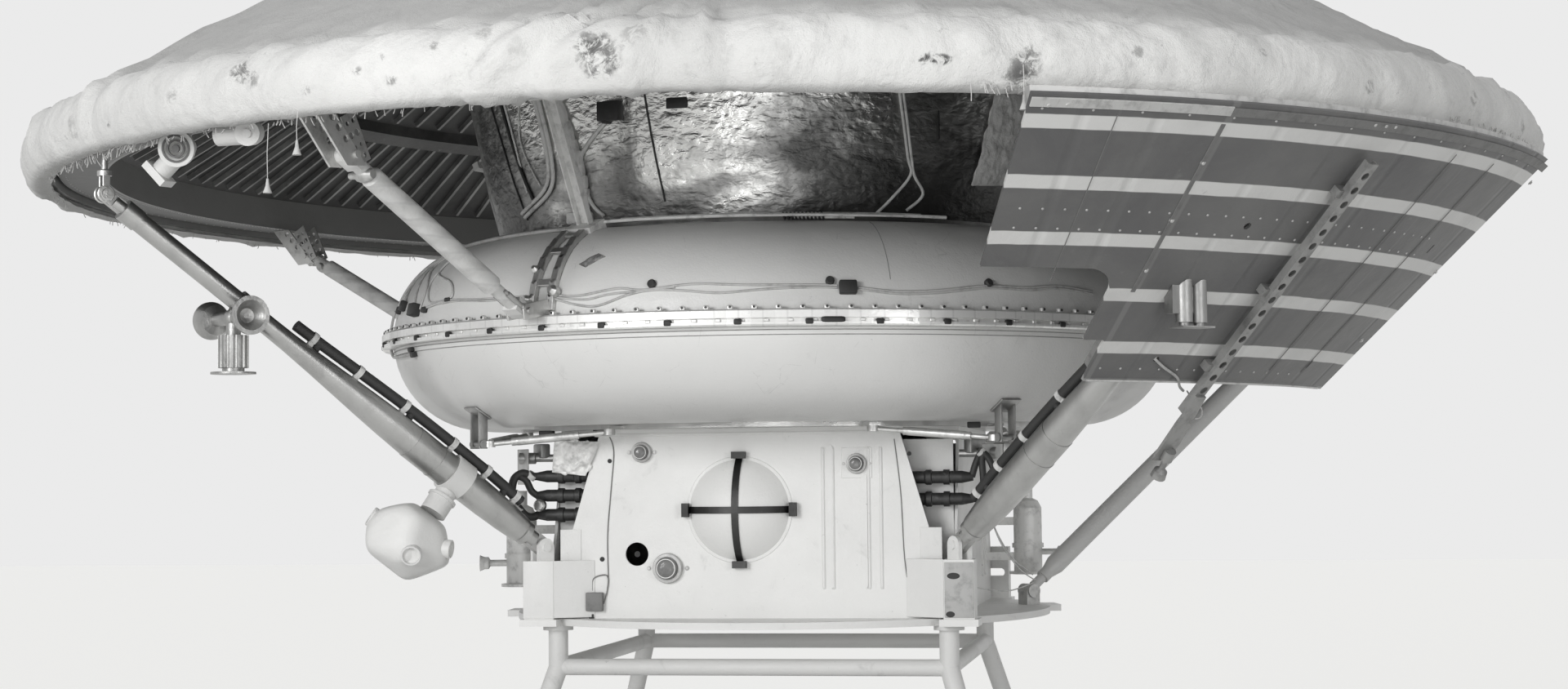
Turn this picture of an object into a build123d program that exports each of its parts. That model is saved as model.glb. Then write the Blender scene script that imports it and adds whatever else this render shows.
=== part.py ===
"""Mars entry lander on its ground stand.

Millimetres, +Z up.  The origin is on the floor under the vehicle's axis.
Azimuths run from +X towards +Y; the front panel of the instrument box faces -Y.
Heights named *_LEVEL are measured from the top of the base plate.
"""
import math
import os

from build123d import *

os.makedirs("parts", exist_ok=True)

# Clearances, and the reach of a cutting block
SEAT_GAP = 0.3
PIN_GAP = 0.3
FAR = 8000.0

# Aeroshell rim, which the struts and the rings follow
SHELL_RIM_R = 1600.0

# Ground stand
PLATE_TOP = 950.0
STAND_POST_REACH = 404.0
STAND_POST_DIA = 40.0
STAND_FLANGE_DIA = 62.0
STAND_FLANGE_THICK = 10.0
STAND_RAIL_DIA = 34.0
STAND_RAIL_DROP = 100.0
STAND_FOOT_REACH = 655.0
FOOT_PAD_SIDE = 150.0
FOOT_PAD_THICK = 10.0
FOOT_BOLT_RADIUS = 7.0
FOOT_BOLT_INSET = 22.0

# Base plate
PLATE_RADIUS = 580.0
PLATE_THICK = 14.0
PLATE_EAR_WIDTH = 90.0
PLATE_EAR_REACH = 606.0
PLATE_EAR_AZIMUTHS = (186.0, 14.0)

# Instrument box
BOX_FACE = 420.0
BOX_HEIGHT = 378.0
PANEL_THICK = 6.0
PANEL_TOP_HALF = 310.0
PANEL_WAIST_HALF = 370.0
PANEL_WAIST_LEVEL = 175.0
PANEL_FOOT_HALF = 392.0
PANEL_FOOT_LEVEL = 130.0
PANEL_BEAD_WIDTH = 12.0
PANEL_BEAD_RISE = 4.0
CONTAINER_RADIUS = 345.0
LID_THICK = 8.0

# Spherical tank behind the front and rear panels
TANK_RADIUS = 125.0
TANK_OFFSET = -18.0
TANK_LEVEL = 220.0
TANK_SETBACK = 70.0
TANK_BACK_CUT = 372.0
TANK_HOLE_GAP = 2.0
STRAP_WIDTH = 14.0
STRAP_THICK = 2.5
STRAP_REACH = 105.0

# Corner fittings that carry the polished struts
FITTING_REACH = 430.0
FITTING_SIDE = 62.0
FITTING_HEIGHT = 118.0
FITTING_SLOT_WIDTH = 19.0
FITTING_SLOT_LENGTH = 44.0
EAR_THICK = 9.0
TONGUE_THICK = 16.0
PIN_RADIUS = 9.0
EYE_ROD_RADIUS = 9.0
EYE_EAR_THICK = 5.0
EYE_TONGUE_THICK = 11.0
EYE_PIN_RADIUS = 6.5

# Polished struts
STRUT_AZIMUTHS = (135.0, 225.0, 315.0)
STRUT_RADIUS = 34.5
STRUT_FOOT_R = FITTING_REACH * math.sqrt(2)
STRUT_FOOT_LEVEL = FITTING_HEIGHT + 29.0
STRUT_TOP_R = SHELL_RIM_R - 67.0
STRUT_TOP_LEVEL = 822.0
STRUT_NECK_RADIUS = 17.0
STRUT_NECK_LENGTH = 46.0
STRUT_FLANGE_RISE = 8.0
STRUT_FLANGE_THICK = 12.0
STRUT_COLLAR_RISE = 0.9
STRUT_CUFF_RISE = 2.5
STRUT_CUFF_LENGTH = 36.0
STRUT_TIP_LENGTH = 44.0
STRUT_TIP_RADIUS = 12.0
STRUT_SHAPE = (
    # distance from the foot's pin, share of the largest radius
    (62.0, 0.78),
    (110.0, 0.90),
    (165.0, 0.97),
    (215.0, 1.00),
    (300.0, 1.00),
    (370.0, 0.98),
    (430.0, 0.93),
    (500.0, 0.84),
    (570.0, 0.73),
    (630.0, 0.64),
    (690.0, 0.57),
    (740.0, 0.55),
)
STRUT_COLLARS = (300.0, 366.0)
STRUT_COLLAR_WIDTH = 3.0

# Thin white struts
THIN_STRUT_RADIUS = 22.0
THIN_BALL_RADIUS = 16.0
THIN_BARREL_RADIUS = 15.0
THIN_FOOT_R = 540.0
THIN_FOOT_LEVEL = 30.0
THIN_TOP_R = SHELL_RIM_R - 100.0
THIN_TOP_LEVEL = 805.0
THIN_STRUTS = (
    # foot azimuth, top azimuth
    (12.0, 29.5),
    (78.0, 60.5),
)

# Parachute ring
RING_CENTRE_R = 652.0
RING_TUBE = 195.0
RING_LIFT = 7.0
RING_LEVEL = BOX_HEIGHT + LID_THICK + RING_LIFT + RING_TUBE
BAND_OUTER_R = RING_CENTRE_R + RING_TUBE + 25.0
BAND_INNER_R = RING_CENTRE_R + RING_TUBE - 9.0
BAND_RISE = 10.0
BAND_DROP = 22.0
BAND_SLOT_TOP = 7.0
BAND_SLOT = 7.5
BAND_SLOT_DEPTH = 9.0
BAND_EDGE = 3.0

# Seats between box, ring and capsule
CRADLE_INNER_R = RING_CENTRE_R - 182.0
CRADLE_OUTER_R = RING_CENTRE_R - 107.0
CRADLE_FOOT_WIDTH = 60.0
CRADLE_FOOT_THICK = 8.0
CRADLE_LIP = 30.0
CAPSULE_SEAT_INNER_R = RING_CENTRE_R - 112.0
CAPSULE_SEAT_OUTER_R = RING_CENTRE_R - 34.0
CAPSULE_LEVEL = RING_LEVEL + RING_TUBE + 13.0

# Solid motor, one plain block inside the ring
MOTOR_RADIUS = 290.0
MOTOR_LENGTH = 370.0

# Foil covered capsule
CAPSULE_FOOT_R = 612.0
CAPSULE_LOW_R = 640.0
CAPSULE_LOW_LEVEL = CAPSULE_LEVEL + 104.0
CAPSULE_MID_R = 684.0
CAPSULE_MID_LEVEL = CAPSULE_LEVEL + 314.0
CAPSULE_HIGH_R = 692.0
CAPSULE_HIGH_LEVEL = CAPSULE_LEVEL + 454.0
CAPSULE_CROWN_R = 420.0

# Conical aeroshell: interior surface, shell thickness and cover thickness
SHELL_RIM_LEVEL = 900.0
SHELL_SLOPE = 30.0
SHELL_THICK = 40.0
SHELL_NOSE_R = 700.0
COVER_THICK = 40.0
NOSE_CAP_R = 560.0
SHELL_RING_INNER = SHELL_RIM_R - 160.0
SHELL_RING_OUTER = SHELL_RIM_R - 44.0
SHELL_RING_LEVEL = 920.0
RING_LIP_WIDTH = 13.0
RING_LIP_DROP = 12.0
RING_GROOVE_WIDTH = 9.0
RING_GROOVE_RISE = 16.0
MID_RING_R = SHELL_RIM_R - 445.0
MID_RING_WIDTH = 34.0
MID_RING_DEPTH = 26.0

# Stringer bands inside the shell
STRINGER_WIDTH = 8.0
STRINGER_DEPTH = 12.0
STRINGER_CLEARANCE = 20.0
OUTER_STRINGER_COUNT = 144
INNER_STRINGER_COUNT = 96
INNER_STRINGER_R = 820.0
STRINGER_BANDS = (
    # inner radius, outer radius, count
    (MID_RING_R + MID_RING_WIDTH, SHELL_RING_INNER - STRINGER_CLEARANCE, OUTER_STRINGER_COUNT),
    (INNER_STRINGER_R, MID_RING_R - MID_RING_WIDTH, INNER_STRINGER_COUNT),
)

# Upper wrapped struts between the ring's clamp band and the shell
UPPER_STRUT_AZIMUTHS = (68.0, 158.0, 247.0, 338.0)
UPPER_STRUT_RADIUS = 20.0
UPPER_FOOT_R = BAND_OUTER_R + 43.0
UPPER_FOOT_LEVEL = RING_LEVEL + 16.0
UPPER_TOP_R = SHELL_RIM_R - 210.0
UPPER_TOP_LEVEL = 852.0
CHEEK_THICK = 5.0
CHEEK_GAP = 34.0

# Striped conical panel
SKIN_TOP_R = SHELL_RIM_R + 40.0
SKIN_TOP_LEVEL = 882.0
SKIN_FOOT_R = 1190.0
SKIN_FOOT_LEVEL = 450.0
SKIN_THICK = 6.0
SKIN_WEST = 293.7
SKIN_EAST = 344.4
SKIN_NOTCH_R = 1379.0
SKIN_NOTCH = 304.4
SKIN_NOTCH_ROUND = 60.0
SKIN_STEP_R = 1261.0
SKIN_STEP = 306.3
SKIN_HOLES = (
    # azimuth, radius on the cone, hole radius, slot length
    (313.1, 1457.0, 7.5, 0.0),
    (312.7, 1230.0, 6.0, 0.0),
    (337.6, 1455.0, 3.0, 22.0),
    (335.0, 1233.0, 3.0, 22.0),
)
SKIN_RIB_DEPTH = 26.0
SKIN_RIB_THICK = 8.0
SKIN_RIB_AZIMUTHS = (307.0, 320.5, 327.0, 335.0, 343.0)
SKIN_RIB_INSET = 1.0
SKIN_FRAME_WIDTH = 8.0
SKIN_STRUT_ROOM = 2.6
SKIN_TOP_FRAME_R = SKIN_TOP_R - 60.0
FLANGE_INNER_R = SKIN_TOP_R - 68.0
FLANGE_THICK = 6.0
FLANGE_RISE = 14.0
FLANGE_SEAT_WIDTH = 24.0
BEAM_AZIMUTH = 319.3
BEAM_WIDTH = 26.0
BEAM_DEPTH = 14.0
BEAM_WALL = 3.0
BEAM_STANDOFF = 10.0
BEAM_TOP_R = SKIN_TOP_R - 59.0
BEAM_FOOT_R = SKIN_FOOT_R - 40.0
BEAM_PITCH = 32.0
BEAM_HOLE_RADIUS = 8.0
BEAM_CLIP_SHARES = (0.18, 0.49, 0.875)
BEAM_CLIP_LENGTH = 16.0
BEAM_CLIP_OVERHANG = 13.0
GUSSET_LENGTH = 118.0
GUSSET_WIDTH = 62.0
GUSSET_THICK = 5.0
GUSSET_LAP = 46.0
GUSSET_NECK = 20.0
BEAM_NOZZLE_ROOT = (30.0, 18.0, -9.0)
BEAM_NOZZLE_TIP = (-34.0, 30.0, -14.0)
BEAM_NOZZLE_SHAPE = (
    # distance from the nozzle's root, radius
    (0.0, 12.0), (22.0, 12.0), (22.0, 6.0), (44.0, 6.0), (50.0, 13.0), (65.0, 15.0),
)
THRUSTER_AZIMUTH = 311.6
THRUSTER_R = SKIN_TOP_R - 288.0
THRUSTER_DROP = 67.5
THRUSTER_LENGTH = 110.0
THRUSTER_CAP = 30.0
THRUSTER_RADIUS = 15.0
THRUSTER_SPACING = 33.0
THRUSTER_PLATE_WIDTH = 40.0
THRUSTER_PLATE_THICK = 3.0
THRUSTER_STEM_RADIUS = 9.0
THRUSTER_STEM = 8.0
THRUSTER_BAND = 6.0
THRUSTER_WEB_DEPTH = 14.0
THRUSTER_BOX_SIZE = (22.0, 16.0, 58.0)
THRUSTER_BOX_RISE = 52.0

# Turnbuckles between the ring's brackets and the cradle
CORNER_AZIMUTHS = (45.0, 135.0, 225.0, 315.0)
BRACKET_PIN_R = RING_CENTRE_R + 103.0
BRACKET_PIN_LEVEL = RING_LEVEL - 230.0
BRACKET_WIDTH = 70.0
TURNBUCKLE_TAB_R = CRADLE_OUTER_R + 27.0
TURNBUCKLE_TAB_TURN = 17.0
TURNBUCKLE_EYE_RADIUS = 12.0
TURNBUCKLE_EYE_HEIGHT = 12.0
TURNBUCKLE_RADIUS = 8.5
TAB_THICK = 6.0

# Cable trunks that lie along two of the polished struts
TRUNK_AZIMUTHS = (225.0, 315.0)
TRUNK_RADIUS = 11.0
TRUNK_START = 96.0
TRUNK_END = 700.0
TRUNK_STEPS = 8
TRUNK_SADDLES = (140.0, 400.0, 640.0)

# Sensor head under the left strut
SENSOR_AT = 246.0
SENSOR_DROP = 164.0
SENSOR_RADIUS = 80.0
SENSOR_NECK_RADIUS = 27.0
CLAMP_WALL = 5.2
CLAMP_WIDTH = 44.0
SENSOR_PORTS = (
    # turn about the neck, tilt from it, radius, rise
    (150.0, 62.0, 22.0, 14.0),
    (75.0, 84.0, 20.0, 10.0),
    (245.0, 96.0, 18.0, 12.0),
    (330.0, 70.0, 18.0, 10.0),
)
SENSOR_FACETS = (
    # turn about the neck, tilt from it, depth left of the ball
    (200.0, 118.0, 70.0),
    (120.0, 126.0, 72.0),
    (290.0, 112.0, 71.0),
    (20.0, 100.0, 72.0),
    (0.0, 180.0, 74.0),
)

# Horns on the left strut
HORN_AT = 800.0
HORN_R = SHELL_RIM_R - 320.0
HORN_LEVEL = 600.0
HORN_RADIUS = 37.0
HORN_DEPTH = 30.0
HORN_FRONT = 85.0
HORN_BACK = 112.0
HORN_FLARE = 8.0
HORN_LIP = 6.0
HORN_WALL = 7.5
HORN_THROAT = 14.0
HORN_TUBE_RADIUS = 13.0
HORN_BALL_RADIUS = 18.0
HORN_LUG_RADIUS = 11.0
CAN_RADIUS = 29.0
CAN_DROP = 108.0
CAN_TOP = 34.0
CAN_STEM_START = 10.0
CAN_STEM_RADIUS = 14.0
CAN_NECK_LENGTH = 8.0
CAN_NECK_RADIUS = 21.0
CAN_PLATE_THICK = 4.0
CAN_PLATE_RADIUS = 43.0
CAN_FLUTES = 12
CAN_FLUTE_RADIUS = 4.0
CAN_FLUTE_OUT = 1.5

# Small jets under the left rim
RIM_JET_R = SHELL_RIM_R - 100.0
RIM_JET_AZIMUTH = 234.0
RIM_JET_LEVEL = SHELL_RING_LEVEL - 36.0
RIM_JET_RADIUS = 33.0
RIM_JET_FACING = (0.10, -0.98, -0.18)
RIM_JET_FRONT = 16.0
RIM_JET_TAIL = 30.0
RIM_JET_SHAPE = (
    # distance from the jet's face, share of its radius
    (0.0, 1.0), (10.0, 1.0), (18.0, 0.7), (60.0, 0.58),
)
RIM_JET_BORE = (
    # distance from the jet's face, share of its radius
    (0.0, 0.67), (25.0, 0.21),
)
RIM_JET_CAN_WAY = (-50.0, 6.0, -46.0)
RIM_JET_CAP_SIZE = (52.0, 44.0, 14.0)
RIM_HANGER_RADIUS = 14.0
RIM_CAN_AZIMUTH = 241.9
RIM_CAN_RADIUS = 20.0
RIM_CAN_SETBACK = 12.0
RIM_CAN_COLLAR = 22.0
RIM_CAN_WAY = (-62.0, 10.0, 0.0)

# Posts on top of the parachute ring
POST_FOOT_R = RING_CENTRE_R + 54.0
POST_TOP_R = RING_CENTRE_R + 170.0
POST_TOP_LEVEL = RING_LEVEL + 444.0
POST_WIDTH = 30.0
POST_DEPTH = 16.0
POST_WALL = 3.0
POST_TEE_WIDTH = 96.0
POST_TEE_HEIGHT = 18.0
POST_SINK = 20.0
POST_FOOT_SIZE = (54.0, 64.0, 20.0)

# Plugs that stand out of the box's open corners
PLUG_LEVELS_LEFT = (292.0, 252.0, 212.0)
PLUG_LEVELS_RIGHT = (282.0, 238.0)
PLUG_RADIUS = 12.5
PLUG_COLLAR = 3.0
PLUG_AXIS_GAP = 31.0
PLUG_REACH = BOX_FACE + 35.0
PLUG_ROOT = BOX_FACE - 124.0
PLUG_BOARD_THICK = 5.0
PLUG_BOARD_DEPTH = 58.0
PLUG_STATIONS = (
    # distance from the board, share of the collar's rise
    (0.0, 0.0), (60.0, 0.0), (64.0, 1.0), (74.0, 1.0), (76.0, 0.0),
    (99.0, 0.0), (99.0, 1.0), (111.0, 1.0), (111.0, 0.0), (136.0, 0.0),
)
PLUG_TAIL_RADIUS = 8.0

# Valve bottles bracketed to the left and right panels
BOTTLE_X = 515.0
BOTTLE_Y = 285.0
BOTTLE_LOW = 60.0
BOTTLE_RADIUS = 32.0
BOTTLE_HEIGHT = 202.0
BOTTLE_SHAPE = (
    # height, share of the bottle's radius
    (0.0, 1.34), (6.0, 1.34), (6.0, 1.0), (60.0, 1.0), (60.0, 1.12), (70.0, 1.12), (70.0, 1.0),
    (150.0, 1.0), (166.0, 0.75), (172.0, 0.38), (BOTTLE_HEIGHT, 0.38),
)
BOTTLE_ARM_HEIGHTS = (40.0, 120.0)
BOTTLE_ARM_WIDTH = 18.0
NOZZLE_RISE = 50.0
NOZZLE_OUT = 86.0
NOZZLE_ASIDE = 20.0
NOZZLE_SHAPE = (
    # distance from the bottle's axis, radius
    (20.0, 7.0), (66.0, 7.0), (70.0, 13.0), (78.0, 13.0), (88.0, 17.0),
)


def polar(radius, azimuth, level):
    """Point at a radius, an azimuth and a height above the base plate."""
    angle = math.radians(azimuth)
    return Vector(radius * math.cos(angle), radius * math.sin(angle), PLATE_TOP + level)


def save(name, shape):
    """Write one node."""
    export_step(shape, f"parts/{name}.step")


def solids(shapes):
    """One node of several solids that don't touch."""
    found = []
    for shape in shapes:
        found.extend(shape.solids())
    return Compound(children=found)


def turned_ring(points, arc=360.0, start=0.0):
    """Revolve an outline of (radius, level) points about the vehicle's axis."""
    outline = Polyline(*[(r, PLATE_TOP + z) for r, z in points], close=True)
    return Rot(0, 0, start) * revolve(Plane.XZ * make_face(outline), Axis.Z, arc)


def radial_plate(points, thick, azimuth, offset=0.0):
    """Plate in the vertical plane of an azimuth, from (radius, level) points."""
    outline = Polyline(*[(r, PLATE_TOP + z) for r, z in points], close=True)
    plate = extrude(Plane.XZ.offset(offset) * make_face(outline), thick / 2, both=True)
    return Rot(0, 0, azimuth) * plate


def rod(start, end, radius):
    """Round bar between two points."""
    axis = end - start
    bar = Cylinder(radius, axis.length, align=(Align.CENTER, Align.CENTER, Align.MIN))
    return Plane(origin=start, z_dir=axis) * bar


def turned_rod(start, end, stations):
    """Turned bar from (distance, radius) stations along its axis."""
    axis = end - start
    points = [(0, stations[0][0])]
    points += [(radius, distance) for distance, radius in stations]
    points += [(0, stations[-1][0])]
    profile = Plane.XZ * make_face(Polyline(*points, close=True))
    return Plane(origin=start, z_dir=axis) * revolve(profile, Axis.Z, 360)


def cross_pin(centre, azimuth, radius, length):
    """Bar square to the vertical plane of an azimuth."""
    side = Vector(-math.sin(math.radians(azimuth)), math.cos(math.radians(azimuth)), 0)
    return rod(centre - side * (length / 2), centre + side * (length / 2), radius)


def box_at(x_range, y_range, level_range):
    """Upright box from its ranges."""
    size = [high - low for low, high in (x_range, y_range, level_range)]
    middle = [(low + high) / 2 for low, high in (x_range, y_range, level_range)]
    return Pos(middle[0], middle[1], PLATE_TOP + middle[2]) * Box(*size)


def inner_level(radius):
    """Level of the shell's interior surface on its straight cone."""
    return SHELL_RIM_LEVEL + (SHELL_RIM_R - radius) * math.tan(math.radians(SHELL_SLOPE))


def torus_solid(grow=0.0):
    """The whole parachute ring, grown by a clearance."""
    circle = Pos(RING_CENTRE_R, PLATE_TOP + RING_LEVEL) * Circle(RING_TUBE + grow)
    return revolve(Plane.XZ * circle, Axis.Z, 360)


def strut_end(start, end, azimuth, tongue, reach, pin_radius):
    """Flat tongue with a round eye at the start point of a strut."""
    axis = (end - start).normalized()
    side = Vector(-math.sin(math.radians(azimuth)), math.cos(math.radians(azimuth)), 0)
    plane = Plane(origin=start, x_dir=axis, z_dir=side)
    eye = Circle(pin_radius * 2) + Pos(reach / 2, 0) * Rectangle(reach, pin_radius * 4)
    plate = extrude(eye, tongue / 2, both=True)
    return plane * (plate - Cylinder(pin_radius + PIN_GAP, tongue * 2))


def clevis(centre, azimuth, direction, reach, gap, ear, pin_radius):
    """Two ears and their pin; the ears run from the pin along a direction."""
    side = Vector(-math.sin(math.radians(azimuth)), math.cos(math.radians(azimuth)), 0)
    plane = Plane(origin=centre, x_dir=direction, z_dir=side)
    outline = Circle(pin_radius * 2) + Pos(reach / 2, 0) * Rectangle(reach, pin_radius * 4)
    shift = gap / 2 + ear / 2
    ears = Pos(0, 0, shift) * extrude(outline, ear / 2, both=True)
    ears += Pos(0, 0, -shift) * extrude(outline, ear / 2, both=True)
    return plane * (ears + Cylinder(pin_radius, gap + 2 * ear + 8))


def make_stand():
    """Welded tube stand: four posts, four rails and four splayed legs."""
    top = -PLATE_THICK
    frame = None
    corners = ((1, 1), (-1, 1), (-1, -1), (1, -1))
    for sx, sy in corners:
        node = Vector(sx * STAND_POST_REACH, sy * STAND_POST_REACH, PLATE_TOP - STAND_RAIL_DROP)
        head = Vector(node.X, node.Y, PLATE_TOP + top)
        foot = Vector(sx * STAND_FOOT_REACH, sy * STAND_FOOT_REACH, FOOT_PAD_THICK)
        shift = (foot - node) * (STAND_POST_DIA / (foot - node).length)
        leg = rod(node, foot + shift, STAND_POST_DIA / 2)
        leg -= Pos(0, 0, FOOT_PAD_THICK - FAR / 2) * Box(FAR, FAR, FAR)
        post = rod(node, head, STAND_POST_DIA / 2) + Pos(*node) * Sphere(STAND_POST_DIA / 2)
        flange_at = head - Vector(0, 0, STAND_FLANGE_THICK)
        post += rod(flange_at, head, STAND_FLANGE_DIA / 2)
        piece = post + leg
        frame = piece if frame is None else frame + piece
    for index in range(4):
        ax, ay = corners[index]
        bx, by = corners[(index + 1) % 4]
        level = PLATE_TOP - STAND_RAIL_DROP
        start = Vector(ax * STAND_POST_REACH, ay * STAND_POST_REACH, level)
        end = Vector(bx * STAND_POST_REACH, by * STAND_POST_REACH, level)
        frame += rod(start, end, STAND_RAIL_DIA / 2)
    save("stand_frame", frame)

    pads = []
    hole_shift = FOOT_PAD_SIDE / 2 - FOOT_BOLT_INSET
    for sx, sy in corners:
        pad = Box(FOOT_PAD_SIDE, FOOT_PAD_SIDE, FOOT_PAD_THICK)
        pad = fillet(pad.edges().filter_by(Axis.Z), 18)
        pad -= Pos(sx * hole_shift, sy * hole_shift) * Cylinder(FOOT_BOLT_RADIUS, 40)
        place = Pos(sx * STAND_FOOT_REACH, sy * STAND_FOOT_REACH, FOOT_PAD_THICK / 2)
        pads.append(place * pad)
    save("stand_feet", solids(pads))


def make_base_plate():
    """Round deck with two side ears and four corner lugs."""
    deck = Circle(PLATE_RADIUS)
    for azimuth in PLATE_EAR_AZIMUTHS:
        ear = Pos(PLATE_EAR_REACH / 2, 0) * Rectangle(PLATE_EAR_REACH, PLATE_EAR_WIDTH)
        deck += Rot(0, 0, azimuth) * ear
    lug_side = FITTING_SIDE + 16
    for sx, sy in ((1, 1), (-1, 1), (-1, -1), (1, -1)):
        deck += Pos(sx * FITTING_REACH, sy * FITTING_REACH) * Rectangle(lug_side, lug_side)
    plate = Pos(0, 0, PLATE_TOP - PLATE_THICK) * extrude(deck, PLATE_THICK)
    save("base_plate", plate)


def side_panel(with_tank):
    """One wall of the box, drawn facing -Y."""
    half = (
        (PANEL_FOOT_HALF, 0),
        (PANEL_FOOT_HALF, PANEL_FOOT_LEVEL),
        (PANEL_WAIST_HALF, PANEL_WAIST_LEVEL),
        (PANEL_TOP_HALF, BOX_HEIGHT),
    )
    outline = list(half) + [(-x, z) for x, z in reversed(half)]
    face = make_face(Polyline(*[(x, PLATE_TOP + z) for x, z in outline], close=True))
    wall = extrude(Plane.XZ.offset(BOX_FACE - PANEL_THICK) * face, PANEL_THICK)
    bead_levels = (60.0, 350.0)
    for x, low in ((168.0, bead_levels[0]), (238.0, bead_levels[0])):
        length = bead_levels[1] - low
        if x > 200:
            length = length - 60
        bead = SlotOverall(length, PANEL_BEAD_WIDTH, rotation=90)
        place = Plane.XZ.offset(BOX_FACE) * Pos(x, PLATE_TOP + low + length / 2)
        wall += place * extrude(bead, PANEL_BEAD_RISE)
    if with_tank:
        reach = math.sqrt(TANK_RADIUS ** 2 - (TANK_SETBACK - PANEL_THICK) ** 2)
        centre = Pos(TANK_OFFSET, 0, PLATE_TOP + TANK_LEVEL)
        wall -= centre * Rot(90, 0, 0) * Cylinder(reach + TANK_HOLE_GAP, FAR)
        for x, level, radius in ((-233.0, 131.0, 24.0),):
            wall -= Pos(x, -BOX_FACE, PLATE_TOP + level) * Rot(90, 0, 0) * Cylinder(radius, 60)
        for x, level, radius, rise in (
            (-168.0, 102.0, 30.0, 10.0),
            (-221.0, 339.0, 20.0, 9.0),
            (223.0, 311.0, 20.0, 9.0),
        ):
            cap = Cylinder(radius, rise, align=(Align.CENTER, Align.CENTER, Align.MIN))
            cap += Pos(0, 0, rise + 7) * Cylinder(radius * 0.66, 14)
            wall += Plane.XZ.offset(BOX_FACE) * Pos(x, PLATE_TOP + level) * cap
    else:
        slot = SlotOverall(60, 26, rotation=90)
        cut = Plane.XZ.offset(BOX_FACE - 30) * Pos(-262, PLATE_TOP + 120) * extrude(slot, 60)
        wall -= cut
    return wall


def make_box():
    """Four walls, the inner container, the lid and the tank with its straps."""
    names = (("front", 0, True), ("right", 90, False), ("rear", 180, True), ("left", 270, False))
    for name, turn, with_tank in names:
        save(f"{name}_panel", Rot(0, 0, turn) * side_panel(with_tank))
    container = turned_ring(
        ((0, 0), (CONTAINER_RADIUS, 0), (CONTAINER_RADIUS, BOX_HEIGHT - 40),
         (CONTAINER_RADIUS - 40, BOX_HEIGHT), (0, BOX_HEIGHT)))
    save("instrument_container", container)
    near = PANEL_TOP_HALF
    corners = ((near, -BOX_FACE), (BOX_FACE, -near), (BOX_FACE, near), (near, BOX_FACE),
               (-near, BOX_FACE), (-BOX_FACE, near), (-BOX_FACE, -near), (-near, -BOX_FACE))
    outline = make_face(Polyline(*corners, close=True))
    lid = Pos(0, 0, PLATE_TOP + BOX_HEIGHT) * extrude(outline, LID_THICK)
    save("box_lid", lid)

    tanks = []
    straps = []
    for turn in (0, 180):
        centre = Pos(TANK_OFFSET, -BOX_FACE + TANK_SETBACK, PLATE_TOP + TANK_LEVEL)
        ball = centre * Sphere(TANK_RADIUS)
        ball -= Pos(0, FAR / 2 - TANK_BACK_CUT, PLATE_TOP + TANK_LEVEL) * Box(FAR, FAR, FAR)
        tanks.append(Rot(0, 0, turn) * ball)
        reach = TANK_RADIUS + SEAT_GAP
        hoop = Cylinder(reach + STRAP_THICK, STRAP_WIDTH) - Cylinder(reach, STRAP_WIDTH * 2)
        cross = centre * (hoop + Rot(0, 90, 0) * hoop)
        cross -= Pos(0, FAR / 2 - BOX_FACE, PLATE_TOP + TANK_LEVEL) * Box(FAR, FAR, FAR)
        for dx, dz in ((1, 0), (-1, 0), (0, 1), (0, -1)):
            end_x = TANK_OFFSET + dx * (STRAP_REACH + 6)
            end_z = PLATE_TOP + TANK_LEVEL + dz * (STRAP_REACH + 6)
            end = Pos(end_x, -BOX_FACE - 9, end_z) * Box(14 + 14 * abs(dz), 18, 14 + 14 * abs(dx))
            cross += end - centre * Sphere(reach)
        straps.append(Rot(0, 0, turn) * cross)
    save("sphere_tanks", solids(tanks))
    save("tank_straps", solids(straps))


def make_corner_fittings():
    """Four square corner posts; three carry a strut's clevis."""
    fittings = []
    for azimuth in (45.0, 135.0, 225.0, 315.0):
        post = Box(FITTING_SIDE, FITTING_SIDE, FITTING_HEIGHT)
        slot = SlotOverall(FITTING_SLOT_LENGTH, FITTING_SLOT_WIDTH, rotation=90)
        post -= Rot(90, 0, 90) * extrude(slot, FITTING_SIDE, both=True)
        reach = FITTING_REACH * math.sqrt(2)
        place = polar(reach, azimuth, FITTING_HEIGHT / 2)
        piece = Pos(*place) * post
        if azimuth in STRUT_AZIMUTHS:
            pin = polar(STRUT_FOOT_R, azimuth, STRUT_FOOT_LEVEL)
            fork = clevis(pin, azimuth, Vector(0, 0, -1), STRUT_FOOT_LEVEL - FITTING_HEIGHT,
                          TONGUE_THICK + 2 * PIN_GAP, EAR_THICK, PIN_RADIUS)
            fork -= Pos(0, 0, PLATE_TOP + FITTING_HEIGHT - FAR / 2) * Box(FAR, FAR, FAR)
            piece += fork
        fittings.append(piece)
    save("corner_fittings", solids(fittings))


def strut_stations(length):
    """Stations of a polished strut: neck, flange, swelling body, scored rings and cuff."""
    neck = STRUT_NECK_LENGTH
    flange = STRUT_NECK_RADIUS + STRUT_FLANGE_RISE
    thin = STRUT_RADIUS * STRUT_SHAPE[-1][1]
    cuff_end = length - STRUT_TIP_LENGTH
    cuff_start = cuff_end - STRUT_CUFF_LENGTH
    body = [(along, strut_radius(along)) for along, share in STRUT_SHAPE]
    for along in STRUT_COLLARS:
        ring = strut_radius(along) + STRUT_COLLAR_RISE
        body += [(along + 0.1, ring), (along + STRUT_COLLAR_WIDTH, ring),
                 (along + STRUT_COLLAR_WIDTH + 0.1, strut_radius(along + STRUT_COLLAR_WIDTH))]
    return [
        (26, STRUT_NECK_RADIUS),
        (neck, STRUT_NECK_RADIUS),
        (neck, flange),
        (neck + STRUT_FLANGE_THICK, flange),
        *sorted(body),
        (cuff_start, thin),
        (cuff_start, thin + STRUT_CUFF_RISE),
        (cuff_end, thin + STRUT_CUFF_RISE),
        (cuff_end, STRUT_TIP_RADIUS),
        (cuff_end + STRUT_TIP_LENGTH / 2, STRUT_TIP_RADIUS),
    ]


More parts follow.
